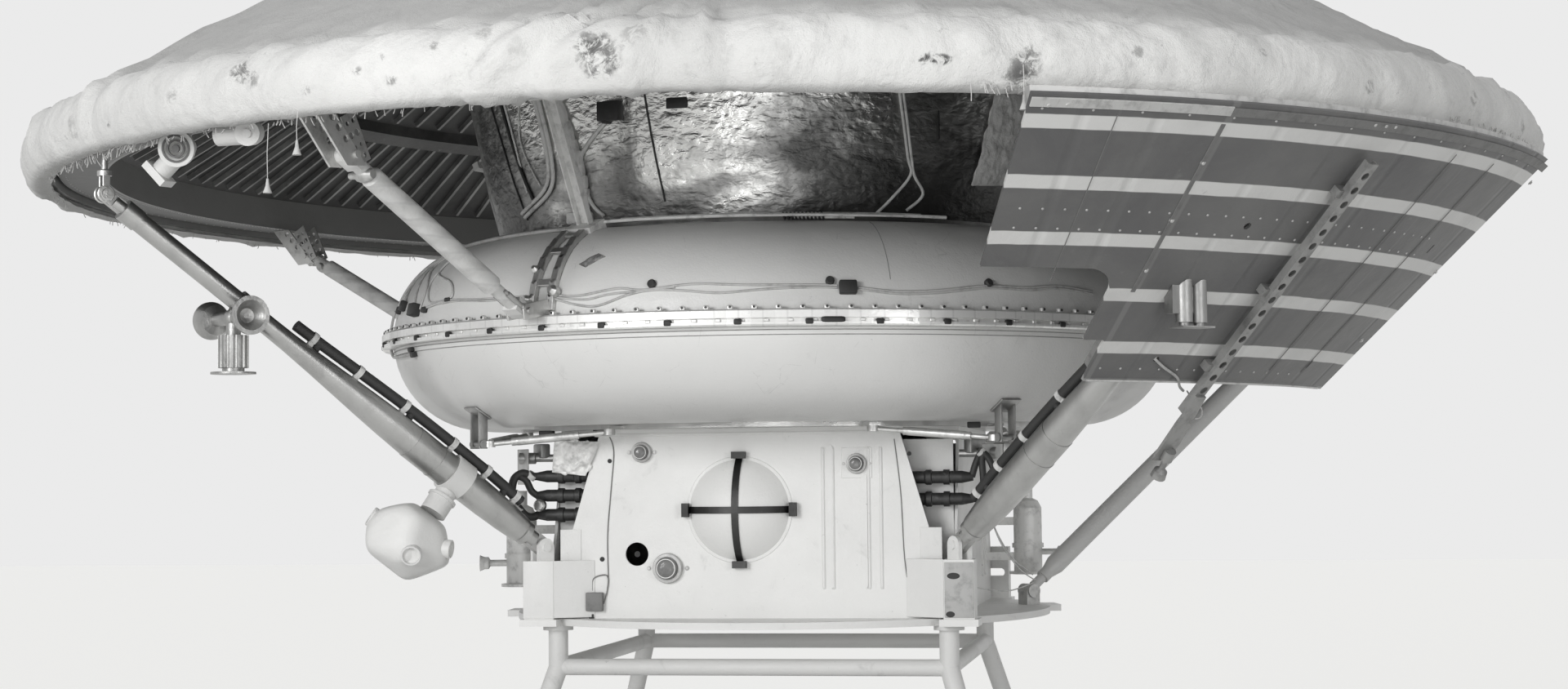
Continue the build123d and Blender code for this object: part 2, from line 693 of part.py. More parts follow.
def make_struts():
    """Three polished struts, each with eyes at both ends, and two thin ones."""
    for azimuth in STRUT_AZIMUTHS:
        foot = polar(STRUT_FOOT_R, azimuth, STRUT_FOOT_LEVEL)
        top = polar(STRUT_TOP_R, azimuth, STRUT_TOP_LEVEL)
        length = (top - foot).length
        bar = turned_rod(foot, top, strut_stations(length))
        bar += strut_end(foot, top, azimuth, TONGUE_THICK, 40, PIN_RADIUS)
        bar += strut_end(top, foot, azimuth, EYE_TONGUE_THICK, STRUT_TIP_LENGTH, EYE_PIN_RADIUS)
        save(f"polished_strut_{int(azimuth)}", bar)

    bars = []
    for foot_azimuth, top_azimuth in THIN_STRUTS:
        foot = polar(THIN_FOOT_R, foot_azimuth, THIN_FOOT_LEVEL)
        top = polar(THIN_TOP_R, top_azimuth, THIN_TOP_LEVEL)
        length = (top - foot).length
        stations = (
            (THIN_BARREL_RADIUS + SEAT_GAP, 11),
            (46, 11),
            (46, 15),
            (64, 15),
            (90, THIN_STRUT_RADIUS),
            (length - 60, THIN_STRUT_RADIUS),
            (length - 30, 11),
            (length, 11),
        )
        bar = turned_rod(foot, top, stations) + Pos(*top) * Sphere(THIN_BALL_RADIUS)
        bars.append(bar)
    save("thin_struts", solids(bars))


def make_eye_rods():
    """Rods with forked ends that hang the struts from the shell's outer ring."""
    rods = []
    for azimuth in STRUT_AZIMUTHS:
        pin = polar(STRUT_TOP_R, azimuth, STRUT_TOP_LEVEL)
        gap = EYE_TONGUE_THICK + 2 * PIN_GAP
        fork = clevis(pin, azimuth, Vector(0, 0, 1), 34, gap, EYE_EAR_THICK, EYE_PIN_RADIUS)
        bridge_at = polar(STRUT_TOP_R, azimuth, STRUT_TOP_LEVEL + 38)
        bridge = Plane(origin=bridge_at, x_dir=Vector(math.cos(math.radians(azimuth)),
                       math.sin(math.radians(azimuth)), 0)) * Box(
                           EYE_PIN_RADIUS * 4, gap + 2 * EYE_EAR_THICK, 10)
        head = polar(STRUT_TOP_R, azimuth, SHELL_RING_LEVEL)
        rods.append(fork + bridge + rod(bridge_at, head, EYE_ROD_RADIUS))
    for foot_azimuth, azimuth in THIN_STRUTS:
        head = polar(THIN_TOP_R, azimuth, SHELL_RING_LEVEL)
        cup_level = THIN_TOP_LEVEL + THIN_BALL_RADIUS + SEAT_GAP
        cup = turned_rod(polar(THIN_TOP_R, azimuth, cup_level), head, (
            (0, THIN_BALL_RADIUS), (10, THIN_BALL_RADIUS), (14, EYE_ROD_RADIUS),
            (SHELL_RING_LEVEL - cup_level, EYE_ROD_RADIUS)))
        rods.append(cup)
    save("eye_rods", solids(rods))


def make_ring():
    """Parachute ring in two halves with its clamp band, cradle and seat."""
    centre = (RING_CENTRE_R, PLATE_TOP + RING_LEVEL)
    low = RING_LEVEL - BAND_DROP
    high = RING_LEVEL + BAND_RISE
    inner = BAND_INNER_R - SEAT_GAP
    band_room = turned_ring((
        (inner, low - SEAT_GAP), (FAR, low - SEAT_GAP), (FAR, high + SEAT_GAP), (inner, high + SEAT_GAP)))
    whole = torus_solid() - band_room
    upper = whole & (Pos(0, 0, centre[1] + FAR / 2) * Box(FAR, FAR, FAR))
    lower = whole & (Pos(0, 0, centre[1] - FAR / 2) * Box(FAR, FAR, FAR))
    save("chute_ring_upper", upper)
    save("chute_ring_lower", lower)

    slot_high = RING_LEVEL - BAND_SLOT_TOP
    slot_low = slot_high - BAND_SLOT
    band = turned_ring((
        (BAND_INNER_R, low), (BAND_OUTER_R - BAND_EDGE, low), (BAND_OUTER_R, low + BAND_EDGE),
        (BAND_OUTER_R, slot_low), (BAND_OUTER_R - BAND_SLOT_DEPTH, slot_low),
        (BAND_OUTER_R - BAND_SLOT_DEPTH, slot_high), (BAND_OUTER_R, slot_high),
        (BAND_OUTER_R, high - BAND_EDGE), (BAND_OUTER_R - BAND_EDGE, high), (BAND_INNER_R, high)))
    save("clamp_band", band)

    room = torus_solid(SEAT_GAP)
    lid_top = BOX_HEIGHT + LID_THICK
    foot_r = CRADLE_INNER_R - CRADLE_FOOT_WIDTH
    foot_top = lid_top + CRADLE_FOOT_THICK
    cradle = turned_ring((
        (CRADLE_INNER_R, RING_LEVEL), (CRADLE_INNER_R - 12, foot_top), (foot_r, foot_top),
        (foot_r, lid_top), (CRADLE_OUTER_R, lid_top), (CRADLE_OUTER_R, lid_top + CRADLE_LIP)))
    for azimuth in CORNER_AZIMUTHS:
        for turn in (-TURNBUCKLE_TAB_TURN, TURNBUCKLE_TAB_TURN):
            reach = TURNBUCKLE_TAB_R + TURNBUCKLE_EYE_RADIUS - CRADLE_OUTER_R + 10
            middle = CRADLE_OUTER_R - 10 + reach / 2
            tab = Pos(middle, 0, PLATE_TOP + lid_top + TAB_THICK / 2) * Box(
                reach, 2 * TURNBUCKLE_EYE_RADIUS, TAB_THICK)
            cradle += Rot(0, 0, azimuth + turn) * tab
    save("ring_cradle", cradle - room)

    seat = turned_ring((
        (CAPSULE_SEAT_INNER_R, RING_LEVEL + 120), (CAPSULE_SEAT_OUTER_R, RING_LEVEL + 180),
        (CAPSULE_SEAT_OUTER_R, CAPSULE_LEVEL), (CAPSULE_SEAT_INNER_R, CAPSULE_LEVEL)))
    save("capsule_seat", seat - room)

    motor = turned_ring((
        (0, lid_top), (MOTOR_RADIUS, lid_top), (MOTOR_RADIUS, lid_top + MOTOR_LENGTH),
        (0, lid_top + MOTOR_LENGTH)))
    save("motor_case", motor)


def make_capsule():
    """Foil covered barrel that narrows under the shell."""
    shoulder_r = CAPSULE_HIGH_R - 30
    gap = SEAT_GAP / math.cos(math.radians(SHELL_SLOPE))
    shoulder = inner_level(shoulder_r) - gap
    crown_level = inner_level(CAPSULE_CROWN_R) - gap
    points = (
        (0, CAPSULE_LEVEL),
        (CAPSULE_FOOT_R, CAPSULE_LEVEL),
        (CAPSULE_LOW_R, CAPSULE_LOW_LEVEL),
        (CAPSULE_MID_R, CAPSULE_MID_LEVEL),
        (CAPSULE_HIGH_R, CAPSULE_HIGH_LEVEL),
        (shoulder_r, shoulder),
        (CAPSULE_CROWN_R, crown_level),
        (0, crown_level),
    )
    save("capsule_cover", turned_ring(points))


def cone_layer(low_offset, high_offset, rim_r):
    """Closed shell between two offsets above the interior cone, nose rounded."""
    slope = math.radians(SHELL_SLOPE)
    edges = []
    ends = []
    for offset in (low_offset, high_offset):
        rim = (rim_r, PLATE_TOP + inner_level(rim_r) + offset / math.cos(slope))
        nose = SHELL_NOSE_R + offset
        touch_r = nose * math.sin(slope)
        apex = PLATE_TOP + inner_level(0) + offset / math.cos(slope)
        centre_z = apex - nose / math.cos(slope)
        touch = (touch_r, centre_z + nose * math.cos(slope))
        crown = (0, centre_z + nose)
        middle_angle = slope / 2
        middle = (nose * math.sin(middle_angle), centre_z + nose * math.cos(middle_angle))
        edges.append(Line(rim, touch))
        edges.append(ThreePointArc(touch, middle, crown))
        ends.append((rim, crown))
    edges.append(Line(ends[0][0], ends[1][0]))
    edges.append(Line(ends[0][1], ends[1][1]))
    return revolve(Plane.XZ * make_face(edges), Axis.Z, 360)


def make_shell():
    """Aeroshell, its cloth cover, its rings and its stringers."""
    shell = cone_layer(0, SHELL_THICK, SHELL_RIM_R - COVER_THICK)
    save("aeroshell", shell - Cylinder(NOSE_CAP_R, FAR))
    save("aeroshell_nose", shell & Cylinder(NOSE_CAP_R - SEAT_GAP, FAR))

    slope = math.radians(SHELL_SLOPE)
    cover = cone_layer(SHELL_THICK + SEAT_GAP, SHELL_THICK + COVER_THICK, SHELL_RIM_R - COVER_THICK)
    inner_r = SHELL_RIM_R - COVER_THICK + SEAT_GAP
    top = inner_level(SHELL_RIM_R - COVER_THICK)
    low = SHELL_RIM_LEVEL - 4
    high = top + (SHELL_THICK + COVER_THICK) / math.cos(slope)
    under = top + (SHELL_THICK + SEAT_GAP) / math.cos(slope)
    cover += turned_ring((
        (inner_r, under), (inner_r, low + 8), (inner_r + 8, low), (SHELL_RIM_R - 14, low),
        (SHELL_RIM_R, low + 14), (SHELL_RIM_R, high - 40), (SHELL_RIM_R - COVER_THICK, high),
        (SHELL_RIM_R - COVER_THICK, under)))
    save("aeroshell_cover", cover)

    gap = SEAT_GAP / math.cos(slope)
    lip_r = SHELL_RING_OUTER - RING_LIP_WIDTH
    groove_r = lip_r - RING_GROOVE_WIDTH
    lip_level = SHELL_RING_LEVEL - RING_LIP_DROP
    groove_level = SHELL_RING_LEVEL + RING_GROOVE_RISE
    outer = turned_ring((
        (SHELL_RING_INNER, SHELL_RING_LEVEL), (groove_r, SHELL_RING_LEVEL), (groove_r, groove_level),
        (lip_r, groove_level), (lip_r, lip_level), (SHELL_RING_OUTER, lip_level),
        (SHELL_RING_OUTER, inner_level(SHELL_RING_OUTER) - gap),
        (SHELL_RING_INNER, inner_level(SHELL_RING_INNER) - gap)))
    save("shell_outer_ring", outer)
    r_low = MID_RING_R - MID_RING_WIDTH / 2
    r_high = MID_RING_R + MID_RING_WIDTH / 2
    mid = turned_ring((
        (r_low, inner_level(r_low) - MID_RING_DEPTH), (r_high, inner_level(r_high) - MID_RING_DEPTH),
        (r_high, inner_level(r_high) - gap), (r_low, inner_level(r_low) - gap)))
    save("shell_mid_ring", mid)

    stringers = []
    for inner, outer_r, count in STRINGER_BANDS:
        length = (outer_r - inner) / math.cos(slope)
        middle_r = (inner + outer_r) / 2
        sink = STRINGER_DEPTH / 2 + SEAT_GAP + STRINGER_WIDTH ** 2 / 8 / inner
        bar = Box(length, STRINGER_WIDTH, STRINGER_DEPTH)
        seat = Pos(middle_r, 0, PLATE_TOP + inner_level(middle_r)) * Rot(0, SHELL_SLOPE, 0) * Pos(0, 0, -sink)
        placed = seat * bar
        for index in range(count):
            stringers.append(Rot(0, 0, 360.0 * index / count) * placed)
    save("shell_stringers", solids(stringers))


def make_upper_struts():
    """Wrapped struts with perforated brackets at both ends."""
    struts = []
    heads = []
    feet = []
    room = torus_solid(SEAT_GAP)
    band_low = RING_LEVEL - BAND_DROP - SEAT_GAP
    band_high = RING_LEVEL + BAND_RISE + SEAT_GAP
    band_reach = BAND_OUTER_R + SEAT_GAP
    band_room = turned_ring(((0, band_low), (band_reach, band_low), (band_reach, band_high), (0, band_high)))
    for azimuth in UPPER_STRUT_AZIMUTHS:
        foot = polar(UPPER_FOOT_R, azimuth, UPPER_FOOT_LEVEL)
        top = polar(UPPER_TOP_R, azimuth, UPPER_TOP_LEVEL)
        length = (top - foot).length
        stations = (
            (22, 13),
            (90, 13),
            (96, UPPER_STRUT_RADIUS),
            (length - 70, UPPER_STRUT_RADIUS),
            (length - 62, 14),
            (length - 22, 14),
        )
        bar = turned_rod(foot, top, stations)
        tongue = CHEEK_GAP - 2 * PIN_GAP
        bar += strut_end(foot, top, azimuth, tongue, 30, 7)
        bar += strut_end(top, foot, azimuth, tongue, 30, 7)
        struts.append(bar)

        cheek = (
            (UPPER_TOP_R - 26, UPPER_TOP_LEVEL - 18),
            (UPPER_TOP_R + 22, UPPER_TOP_LEVEL - 22),
            (UPPER_TOP_R + 106, SHELL_RING_LEVEL),
            (SHELL_RING_INNER + 4, SHELL_RING_LEVEL),
        )
        bracket = None
        for side in (-1, 1):
            plate = radial_plate(cheek, CHEEK_THICK, azimuth, side * (CHEEK_GAP + CHEEK_THICK) / 2)
            bracket = plate if bracket is None else bracket + plate
        bracket += cross_pin(top, azimuth, 7, CHEEK_GAP + 2 * CHEEK_THICK + 10)
        for step in (0.36, 0.62, 0.86):
            hole_r = UPPER_TOP_R + 70 * step
            hole_level = UPPER_TOP_LEVEL + (SHELL_RING_LEVEL - UPPER_TOP_LEVEL) * step
            bracket -= cross_pin(polar(hole_r, azimuth, hole_level), azimuth, 7, 200)
        base = radial_plate((
            (SHELL_RING_INNER + 4, SHELL_RING_LEVEL - 5), (UPPER_TOP_R + 100, SHELL_RING_LEVEL - 5),
            (UPPER_TOP_R + 100, SHELL_RING_LEVEL), (SHELL_RING_INNER + 4, SHELL_RING_LEVEL)),
            CHEEK_GAP + 2 * CHEEK_THICK, azimuth)
        heads.append(bracket + base)

        shoe = (
            (UPPER_FOOT_R + 16, UPPER_FOOT_LEVEL - 16),
            (UPPER_FOOT_R + 12, UPPER_FOOT_LEVEL + 16),
            (BAND_OUTER_R - 10, RING_LEVEL + 96),
            (RING_CENTRE_R + 130, RING_LEVEL + 172),
            (RING_CENTRE_R + 112, RING_LEVEL + 100),
            (BAND_OUTER_R - 40, RING_LEVEL + 20),
            (BAND_OUTER_R - 20, UPPER_FOOT_LEVEL - 16),
        )
        mount = None
        for side in (-1, 1):
            plate = radial_plate(shoe, CHEEK_THICK, azimuth, side * (CHEEK_GAP + CHEEK_THICK) / 2)
            mount = plate if mount is None else mount + plate
        mount += cross_pin(foot, azimuth, 7, CHEEK_GAP + 2 * CHEEK_THICK + 10)
        mount = mount - room - band_room
        feet.append(mount)
    save("upper_struts", solids(struts))
    save("upper_strut_heads", solids(heads))
    save("upper_strut_feet", solids(feet))


def skin_level(radius):
    """Level of the striped panel's outer face at a radius."""
    share = (radius - SKIN_FOOT_R) / (SKIN_TOP_R - SKIN_FOOT_R)
    return SKIN_FOOT_LEVEL + share * (SKIN_TOP_LEVEL - SKIN_FOOT_LEVEL)


def skin_sector(r_low, r_high, west, east, inside, outside):
    """Piece of the panel's cone between two radii and two azimuths.

    inside and outside are distances square to the outer face, inwards positive.
    """
    slope = math.atan2(SKIN_TOP_LEVEL - SKIN_FOOT_LEVEL, SKIN_TOP_R - SKIN_FOOT_R)
    points = []
    for radius, depth in ((r_low, outside), (r_high, outside), (r_high, inside), (r_low, inside)):
        points.append((radius - depth * math.sin(slope), skin_level(radius) + depth * math.cos(slope)))
    return turned_ring(points, east - west, west)


def skin_hole(azimuth, radius, hole_radius, slot_length):
    """Cutter for a round hole or a slot along the slope, square to the panel."""
    slope = math.degrees(math.atan2(SKIN_TOP_LEVEL - SKIN_FOOT_LEVEL, SKIN_TOP_R - SKIN_FOOT_R))
    outline = Circle(hole_radius)
    if slot_length:
        outline = SlotOverall(slot_length, 2 * hole_radius)
    place = Pos(radius, 0, PLATE_TOP + skin_level(radius)) * Rot(0, -slope, 0)
    return Rot(0, 0, azimuth) * place * extrude(outline, 6 * SKIN_THICK, both=True)


def notch_cutters():
    """Cutters for the panel's notch, with its rounded inner corner, and for the step below."""
    slope = math.atan2(SKIN_TOP_LEVEL - SKIN_FOOT_LEVEL, SKIN_TOP_R - SKIN_FOOT_R)
    beyond_r = SKIN_FOOT_R - 2 * SKIN_NOTCH_ROUND
    beyond_west = SKIN_WEST - 2
    deep = 4 * SKIN_THICK
    low_r = SKIN_NOTCH_R - SKIN_NOTCH_ROUND * math.cos(slope)
    west = SKIN_NOTCH - math.degrees(SKIN_NOTCH_ROUND / SKIN_NOTCH_R)
    corner = skin_sector(low_r, SKIN_NOTCH_R + SKIN_NOTCH_ROUND, west, SKIN_NOTCH + 1, deep + 5, -deep - 5)
    corner -= skin_hole(west, low_r, SKIN_NOTCH_ROUND, 0)
    notch = skin_sector(beyond_r, SKIN_NOTCH_R, beyond_west, SKIN_NOTCH, deep, -deep) - corner
    step = skin_sector(beyond_r, SKIN_STEP_R, beyond_west, SKIN_STEP, deep, -deep)
    return notch, step


def make_striped_panel():
    """Conical panel with its notch, hidden ribs, top flange and perforated beam."""
    skin = skin_sector(SKIN_FOOT_R, SKIN_TOP_R, SKIN_WEST, SKIN_EAST, SKIN_THICK, 0)
    for cutter in notch_cutters():
        skin -= cutter
    for azimuth, radius, hole_radius, slot_length in SKIN_HOLES:
        skin -= skin_hole(azimuth, radius, hole_radius, slot_length)
    save("striped_panel", skin)

    deep = SKIN_THICK + SKIN_RIB_DEPTH
    start = SKIN_THICK + SEAT_GAP
    width = SKIN_FRAME_WIDTH
    edge_r = SKIN_FOOT_R + width
    notch_r = SKIN_NOTCH_R + width
    strut = STRUT_AZIMUTHS[-1]
    arcs = (
        (SKIN_TOP_FRAME_R, SKIN_WEST + 1, SKIN_EAST - 0.6),
        (notch_r, SKIN_WEST + 1, strut - SKIN_STRUT_ROOM),
        (notch_r, strut + SKIN_STRUT_ROOM, SKIN_EAST - 0.6),
        (edge_r, SKIN_STEP + 1, SKIN_EAST - 0.6),
    )
    frame = None
    for radius, west, east in arcs:
        arc = skin_sector(radius, radius + width, west, east, deep, start)
        frame = arc if frame is None else frame + arc
    slope = math.atan2(SKIN_TOP_LEVEL - SKIN_FOOT_LEVEL, SKIN_TOP_R - SKIN_FOOT_R)
    rib = []
    for radius, depth in (
        (edge_r + width / 2, start + SKIN_RIB_INSET), (SKIN_TOP_FRAME_R + width / 2, start + SKIN_RIB_INSET),
        (SKIN_TOP_FRAME_R + width / 2, deep - SKIN_RIB_INSET), (edge_r + width / 2, deep - SKIN_RIB_INSET),
    ):
        rib.append((radius - depth * math.sin(slope), skin_level(radius) + depth * math.cos(slope)))
    for azimuth in SKIN_RIB_AZIMUTHS:
        frame += radial_plate(rib, SKIN_RIB_THICK, azimuth)
    save("panel_frame", frame)

    top = SKIN_TOP_LEVEL + FLANGE_RISE
    low = top - FLANGE_THICK
    outer_r = SKIN_TOP_R - 8
    seat_r = outer_r - FLANGE_SEAT_WIDTH
    rise = (SKIN_THICK + SEAT_GAP) / math.cos(slope)
    flange = turned_ring((
        (FLANGE_INNER_R, low), (seat_r, low), (seat_r, skin_level(seat_r) + rise),
        (outer_r, skin_level(outer_r) + rise), (outer_r, top), (FLANGE_INNER_R, top)),
        SKIN_EAST - SKIN_WEST, SKIN_WEST)
    save("panel_flange", flange)


def make_turnbuckles():
    """Brackets under the parachute ring and the adjustable rods to the cradle."""
    room = torus_solid(SEAT_GAP)
    lid_top = BOX_HEIGHT + LID_THICK
    eye = TURNBUCKLE_EYE_HEIGHT
    brackets = []
    rods = []
    for azimuth in CORNER_AZIMUTHS:
        tab_top = BRACKET_PIN_LEVEL - eye / 2
        gusset = (
            (BRACKET_PIN_R - 34, tab_top - TAB_THICK), (BRACKET_PIN_R + 12, tab_top - TAB_THICK),
            (BRACKET_PIN_R + 64, RING_LEVEL - 120), (BRACKET_PIN_R - 40, RING_LEVEL - 120),
            (BRACKET_PIN_R - 46, tab_top + 44), (BRACKET_PIN_R + 6, tab_top + 30),
            (BRACKET_PIN_R + 6, tab_top), (BRACKET_PIN_R - 34, tab_top),
        )
        brackets.append(radial_plate(gusset, BRACKET_WIDTH, azimuth) - room)
        for index, turn in enumerate((-TURNBUCKLE_TAB_TURN, TURNBUCKLE_TAB_TURN)):
            side = 2 * index - 1
            level = BRACKET_PIN_LEVEL
            start = polar(BRACKET_PIN_R - 16, azimuth + side * 1.25, level)
            end = polar(TURNBUCKLE_TAB_R, azimuth + turn, lid_top - eye / 2)
            length = (end - start).length
            bar = turned_rod(start, end, (
                (4, 5), (46, 5), (46, 8), (56, 8), (60, TURNBUCKLE_RADIUS),
                (length - 74, TURNBUCKLE_RADIUS), (length - 70, 8), (length - 62, 8),
                (length - 62, 5), (length - 4, 5)))
            for point in (start, end):
                low = point - Vector(0, 0, eye / 2)
                high = point + Vector(0, 0, eye / 2)
                bar += rod(low, high, TURNBUCKLE_EYE_RADIUS)
            rods.append(bar)
    save("ring_brackets", solids(brackets))
    save("turnbuckles", solids(rods))


def strut_point(azimuth, along, drop=0.0, aside=0.0):
    """Point beside a polished strut: along it, below it and to its side."""
    foot = polar(STRUT_FOOT_R, azimuth, STRUT_FOOT_LEVEL)
    top = polar(STRUT_TOP_R, azimuth, STRUT_TOP_LEVEL)
    axis = (top - foot).normalized()
    side = Vector(math.sin(math.radians(azimuth)), -math.cos(math.radians(azimuth)), 0)
    down = side.cross(axis) * -1
    return foot + axis * along + down * drop + side * aside


def strut_radius(along):
    """Radius of a polished strut at a distance from its foot."""
    for (low_at, low), (high_at, high) in zip(STRUT_SHAPE, STRUT_SHAPE[1:]):
        if along <= high_at:
            share = (max(along, low_at) - low_at) / (high_at - low_at)
            return STRUT_RADIUS * (low + (high - low) * share)
    return STRUT_RADIUS * STRUT_SHAPE[-1][1]


def strut_room(azimuth, low_at, high_at):
    """Bar that stands for a stretch of a polished strut with its clearance."""
    radius = max(strut_radius(low_at), strut_radius(high_at)) + SEAT_GAP
    return rod(strut_point(azimuth, low_at), strut_point(azimuth, high_at), radius)


def strut_clamp(azimuth, along):
    """Band clamped round a polished strut."""
    low_at = along - CLAMP_WIDTH / 2
    high_at = along + CLAMP_WIDTH / 2
    reach = max(strut_radius(low_at), strut_radius(high_at)) + SEAT_GAP + CLAMP_WALL
    band = rod(strut_point(azimuth, low_at), strut_point(azimuth, high_at), reach)
    return band - strut_room(azimuth, low_at, high_at)


def make_trunks():
    """Cable trunks tied along the upper side of two struts."""
    clear = 2 * SEAT_GAP + CLAMP_WALL + TRUNK_RADIUS
    stops = [TRUNK_START + (TRUNK_END - TRUNK_START) * step / TRUNK_STEPS for step in range(TRUNK_STEPS + 1)]
    trunks = []
    for azimuth in TRUNK_AZIMUTHS:
        way = Spline(*[strut_point(azimuth, along, -strut_radius(along) - clear) for along in stops])
        trunk = sweep(Plane(origin=way @ 0, z_dir=way % 0) * Circle(TRUNK_RADIUS), path=way)
        for along in TRUNK_SADDLES:
            rise = -strut_radius(along) - clear
            saddle = rod(strut_point(azimuth, along), strut_point(azimuth, along, rise), TRUNK_RADIUS - 3)
            trunk += saddle - strut_room(azimuth, along - TRUNK_RADIUS, along + TRUNK_RADIUS)
        trunks.append(trunk)
    save("strut_cable_trunks", solids(trunks))


def make_sensor_head():
    """Round faceted sensor head on a clamped neck under the left strut."""
    azimuth = TRUNK_AZIMUTHS[0]
    root = strut_point(azimuth, SENSOR_AT)
    centre = strut_point(azimuth, SENSOR_AT, SENSOR_DROP)
    reach = strut_radius(SENSOR_AT) + SEAT_GAP + 1
    join = math.sqrt(SENSOR_RADIUS ** 2 - SENSOR_NECK_RADIUS ** 2)
    neck = turned_rod(root, centre, (
        (reach, SENSOR_NECK_RADIUS - 5), (reach + 14, SENSOR_NECK_RADIUS - 5),
        (reach + 14, SENSOR_NECK_RADIUS + 3), (reach + 20, SENSOR_NECK_RADIUS + 3),
        (reach + 20, SENSOR_NECK_RADIUS), (SENSOR_DROP - join - SEAT_GAP, SENSOR_NECK_RADIUS)))
    neck -= Pos(*centre) * Sphere(SENSOR_RADIUS + SEAT_GAP)
    room = strut_room(azimuth, SENSOR_AT - CLAMP_WIDTH, SENSOR_AT + CLAMP_WIDTH)
    neck = neck - room + strut_clamp(azimuth, SENSOR_AT)
    save("sensor_neck", neck)

    frame = Plane(origin=centre, z_dir=centre - root, x_dir=strut_point(azimuth, 1) - strut_point(azimuth, 0))
    head = Sphere(SENSOR_RADIUS)
    for turn, tilt, depth in SENSOR_FACETS:
        block = Pos(0, 0, depth + 50) * Box(200, 200, 100)
        head -= Rot(0, 0, turn) * Rot(0, 180 - tilt, 0) * block
    for turn, tilt, radius, rise in SENSOR_PORTS:
        port = Cylinder(radius, rise + 20, align=(Align.CENTER, Align.CENTER, Align.MIN))
        seat = math.sqrt(SENSOR_RADIUS ** 2 - radius ** 2) - 20
        head += Rot(0, 0, turn) * Rot(0, 180 - tilt, 0) * Pos(0, 0, seat) * port
    save("sensor_head", frame * head)


def make_strut_horns():
    """Two opposed horns and a fluted can clamped to the left strut."""
    azimuth = TRUNK_AZIMUTHS[0]
    hub = polar(HORN_R, azimuth, HORN_LEVEL)
    side = Vector(math.sin(math.radians(azimuth)) * -1, math.cos(math.radians(azimuth)), 0)
    front = hub + side * HORN_FRONT
    back = hub - side * HORN_BACK
    body = strut_clamp(azimuth, HORN_AT)
    for tip in (front, back):
        outward = (tip - hub).normalized()
        length = (tip - hub).length
        cup = turned_rod(hub, tip, (
            (HORN_TUBE_RADIUS, HORN_TUBE_RADIUS), (length - HORN_DEPTH, HORN_TUBE_RADIUS),
            (length - HORN_DEPTH + 4, HORN_RADIUS - HORN_FLARE), (length - HORN_LIP, HORN_RADIUS),
            (length, HORN_RADIUS)))
        floor = HORN_DEPTH - HORN_WALL
        inner = turned_rod(tip - outward * floor, tip + outward, (
            (0, HORN_THROAT - 9), (2, HORN_THROAT), (floor + 1, HORN_RADIUS - HORN_WALL)))
        body += cup - inner
    low = hub - Vector(0, 0, CAN_DROP)
    can_low = CAN_DROP - CAN_NECK_LENGTH - CAN_PLATE_THICK
    plate_at = CAN_DROP - CAN_PLATE_THICK
    can = turned_rod(hub, low, (
        (CAN_STEM_START, CAN_STEM_RADIUS), (CAN_TOP, CAN_STEM_RADIUS), (CAN_TOP, CAN_RADIUS),
        (can_low, CAN_RADIUS), (can_low, CAN_NECK_RADIUS), (plate_at, CAN_NECK_RADIUS),
        (plate_at, CAN_PLATE_RADIUS), (CAN_DROP, CAN_PLATE_RADIUS)))
    for index in range(CAN_FLUTES):
        angle = 2 * math.pi * index / CAN_FLUTES
        offset = Vector(math.cos(angle), math.sin(angle), 0) * (CAN_RADIUS + CAN_FLUTE_OUT)
        flute_low = hub - Vector(0, 0, can_low) + offset
        can -= rod(hub - Vector(0, 0, CAN_TOP) + offset, flute_low, CAN_FLUTE_RADIUS)
    body += can + Pos(*hub) * Sphere(HORN_BALL_RADIUS)
    lug = strut_point(azimuth, HORN_AT, strut_radius(HORN_AT) + 2)
    body += rod(lug, hub, HORN_LUG_RADIUS)
    room = strut_room(azimuth, HORN_AT - CLAMP_WIDTH / 2, HORN_AT + CLAMP_WIDTH)
    save("strut_horns", body - room)


def make_rim_jets():
    """Ringed jet, wrapped can and small can hung from the shell's outer ring."""
    azimuth = RIM_JET_AZIMUTH
    centre = polar(RIM_JET_R, azimuth, RIM_JET_LEVEL)
    facing = Vector(*RIM_JET_FACING).normalized()
    seat_level = PLATE_TOP + SHELL_RING_LEVEL - SEAT_GAP
    shape = [(along, RIM_JET_RADIUS * share) for along, share in RIM_JET_SHAPE]
    bore = [(along, RIM_JET_RADIUS * share) for along, share in RIM_JET_BORE]
    face = centre + facing * RIM_JET_FRONT
    jet = turned_rod(face, face - facing * shape[-1][0], shape)
    jet -= turned_rod(face + facing, face - facing * bore[-1][0], bore)
    tail = centre - facing * RIM_JET_TAIL
    can_end = tail + Vector(*RIM_JET_CAN_WAY)
    jet += rod(tail, can_end, RIM_CAN_RADIUS - 1)
    jet += Plane(origin=can_end, z_dir=can_end - tail) * Box(*RIM_JET_CAP_SIZE)
    jet += rod(tail, Vector(tail.X, tail.Y, seat_level), RIM_HANGER_RADIUS)
    small = polar(RIM_JET_R, RIM_CAN_AZIMUTH, RIM_JET_LEVEL + 6)
    root = small - facing * RIM_CAN_SETBACK
    reach = root + Vector(*RIM_CAN_WAY)
    can = rod(root, reach, RIM_CAN_RADIUS)
    can += turned_rod(root + facing * RIM_CAN_COLLAR, root - facing * RIM_CAN_COLLAR, (
        (0, 8), (4, 8), (4, RIM_CAN_RADIUS + 2), (2 * RIM_CAN_COLLAR - 8, RIM_CAN_RADIUS + 2)))
    middle = (small + reach) * 0.5
    can += rod(middle, Vector(middle.X, middle.Y, seat_level), RIM_HANGER_RADIUS - 2)
    ceiling = Pos(0, 0, seat_level + FAR / 2) * Box(FAR, FAR, FAR)
    save("rim_jets", solids([jet - ceiling, can - ceiling]))


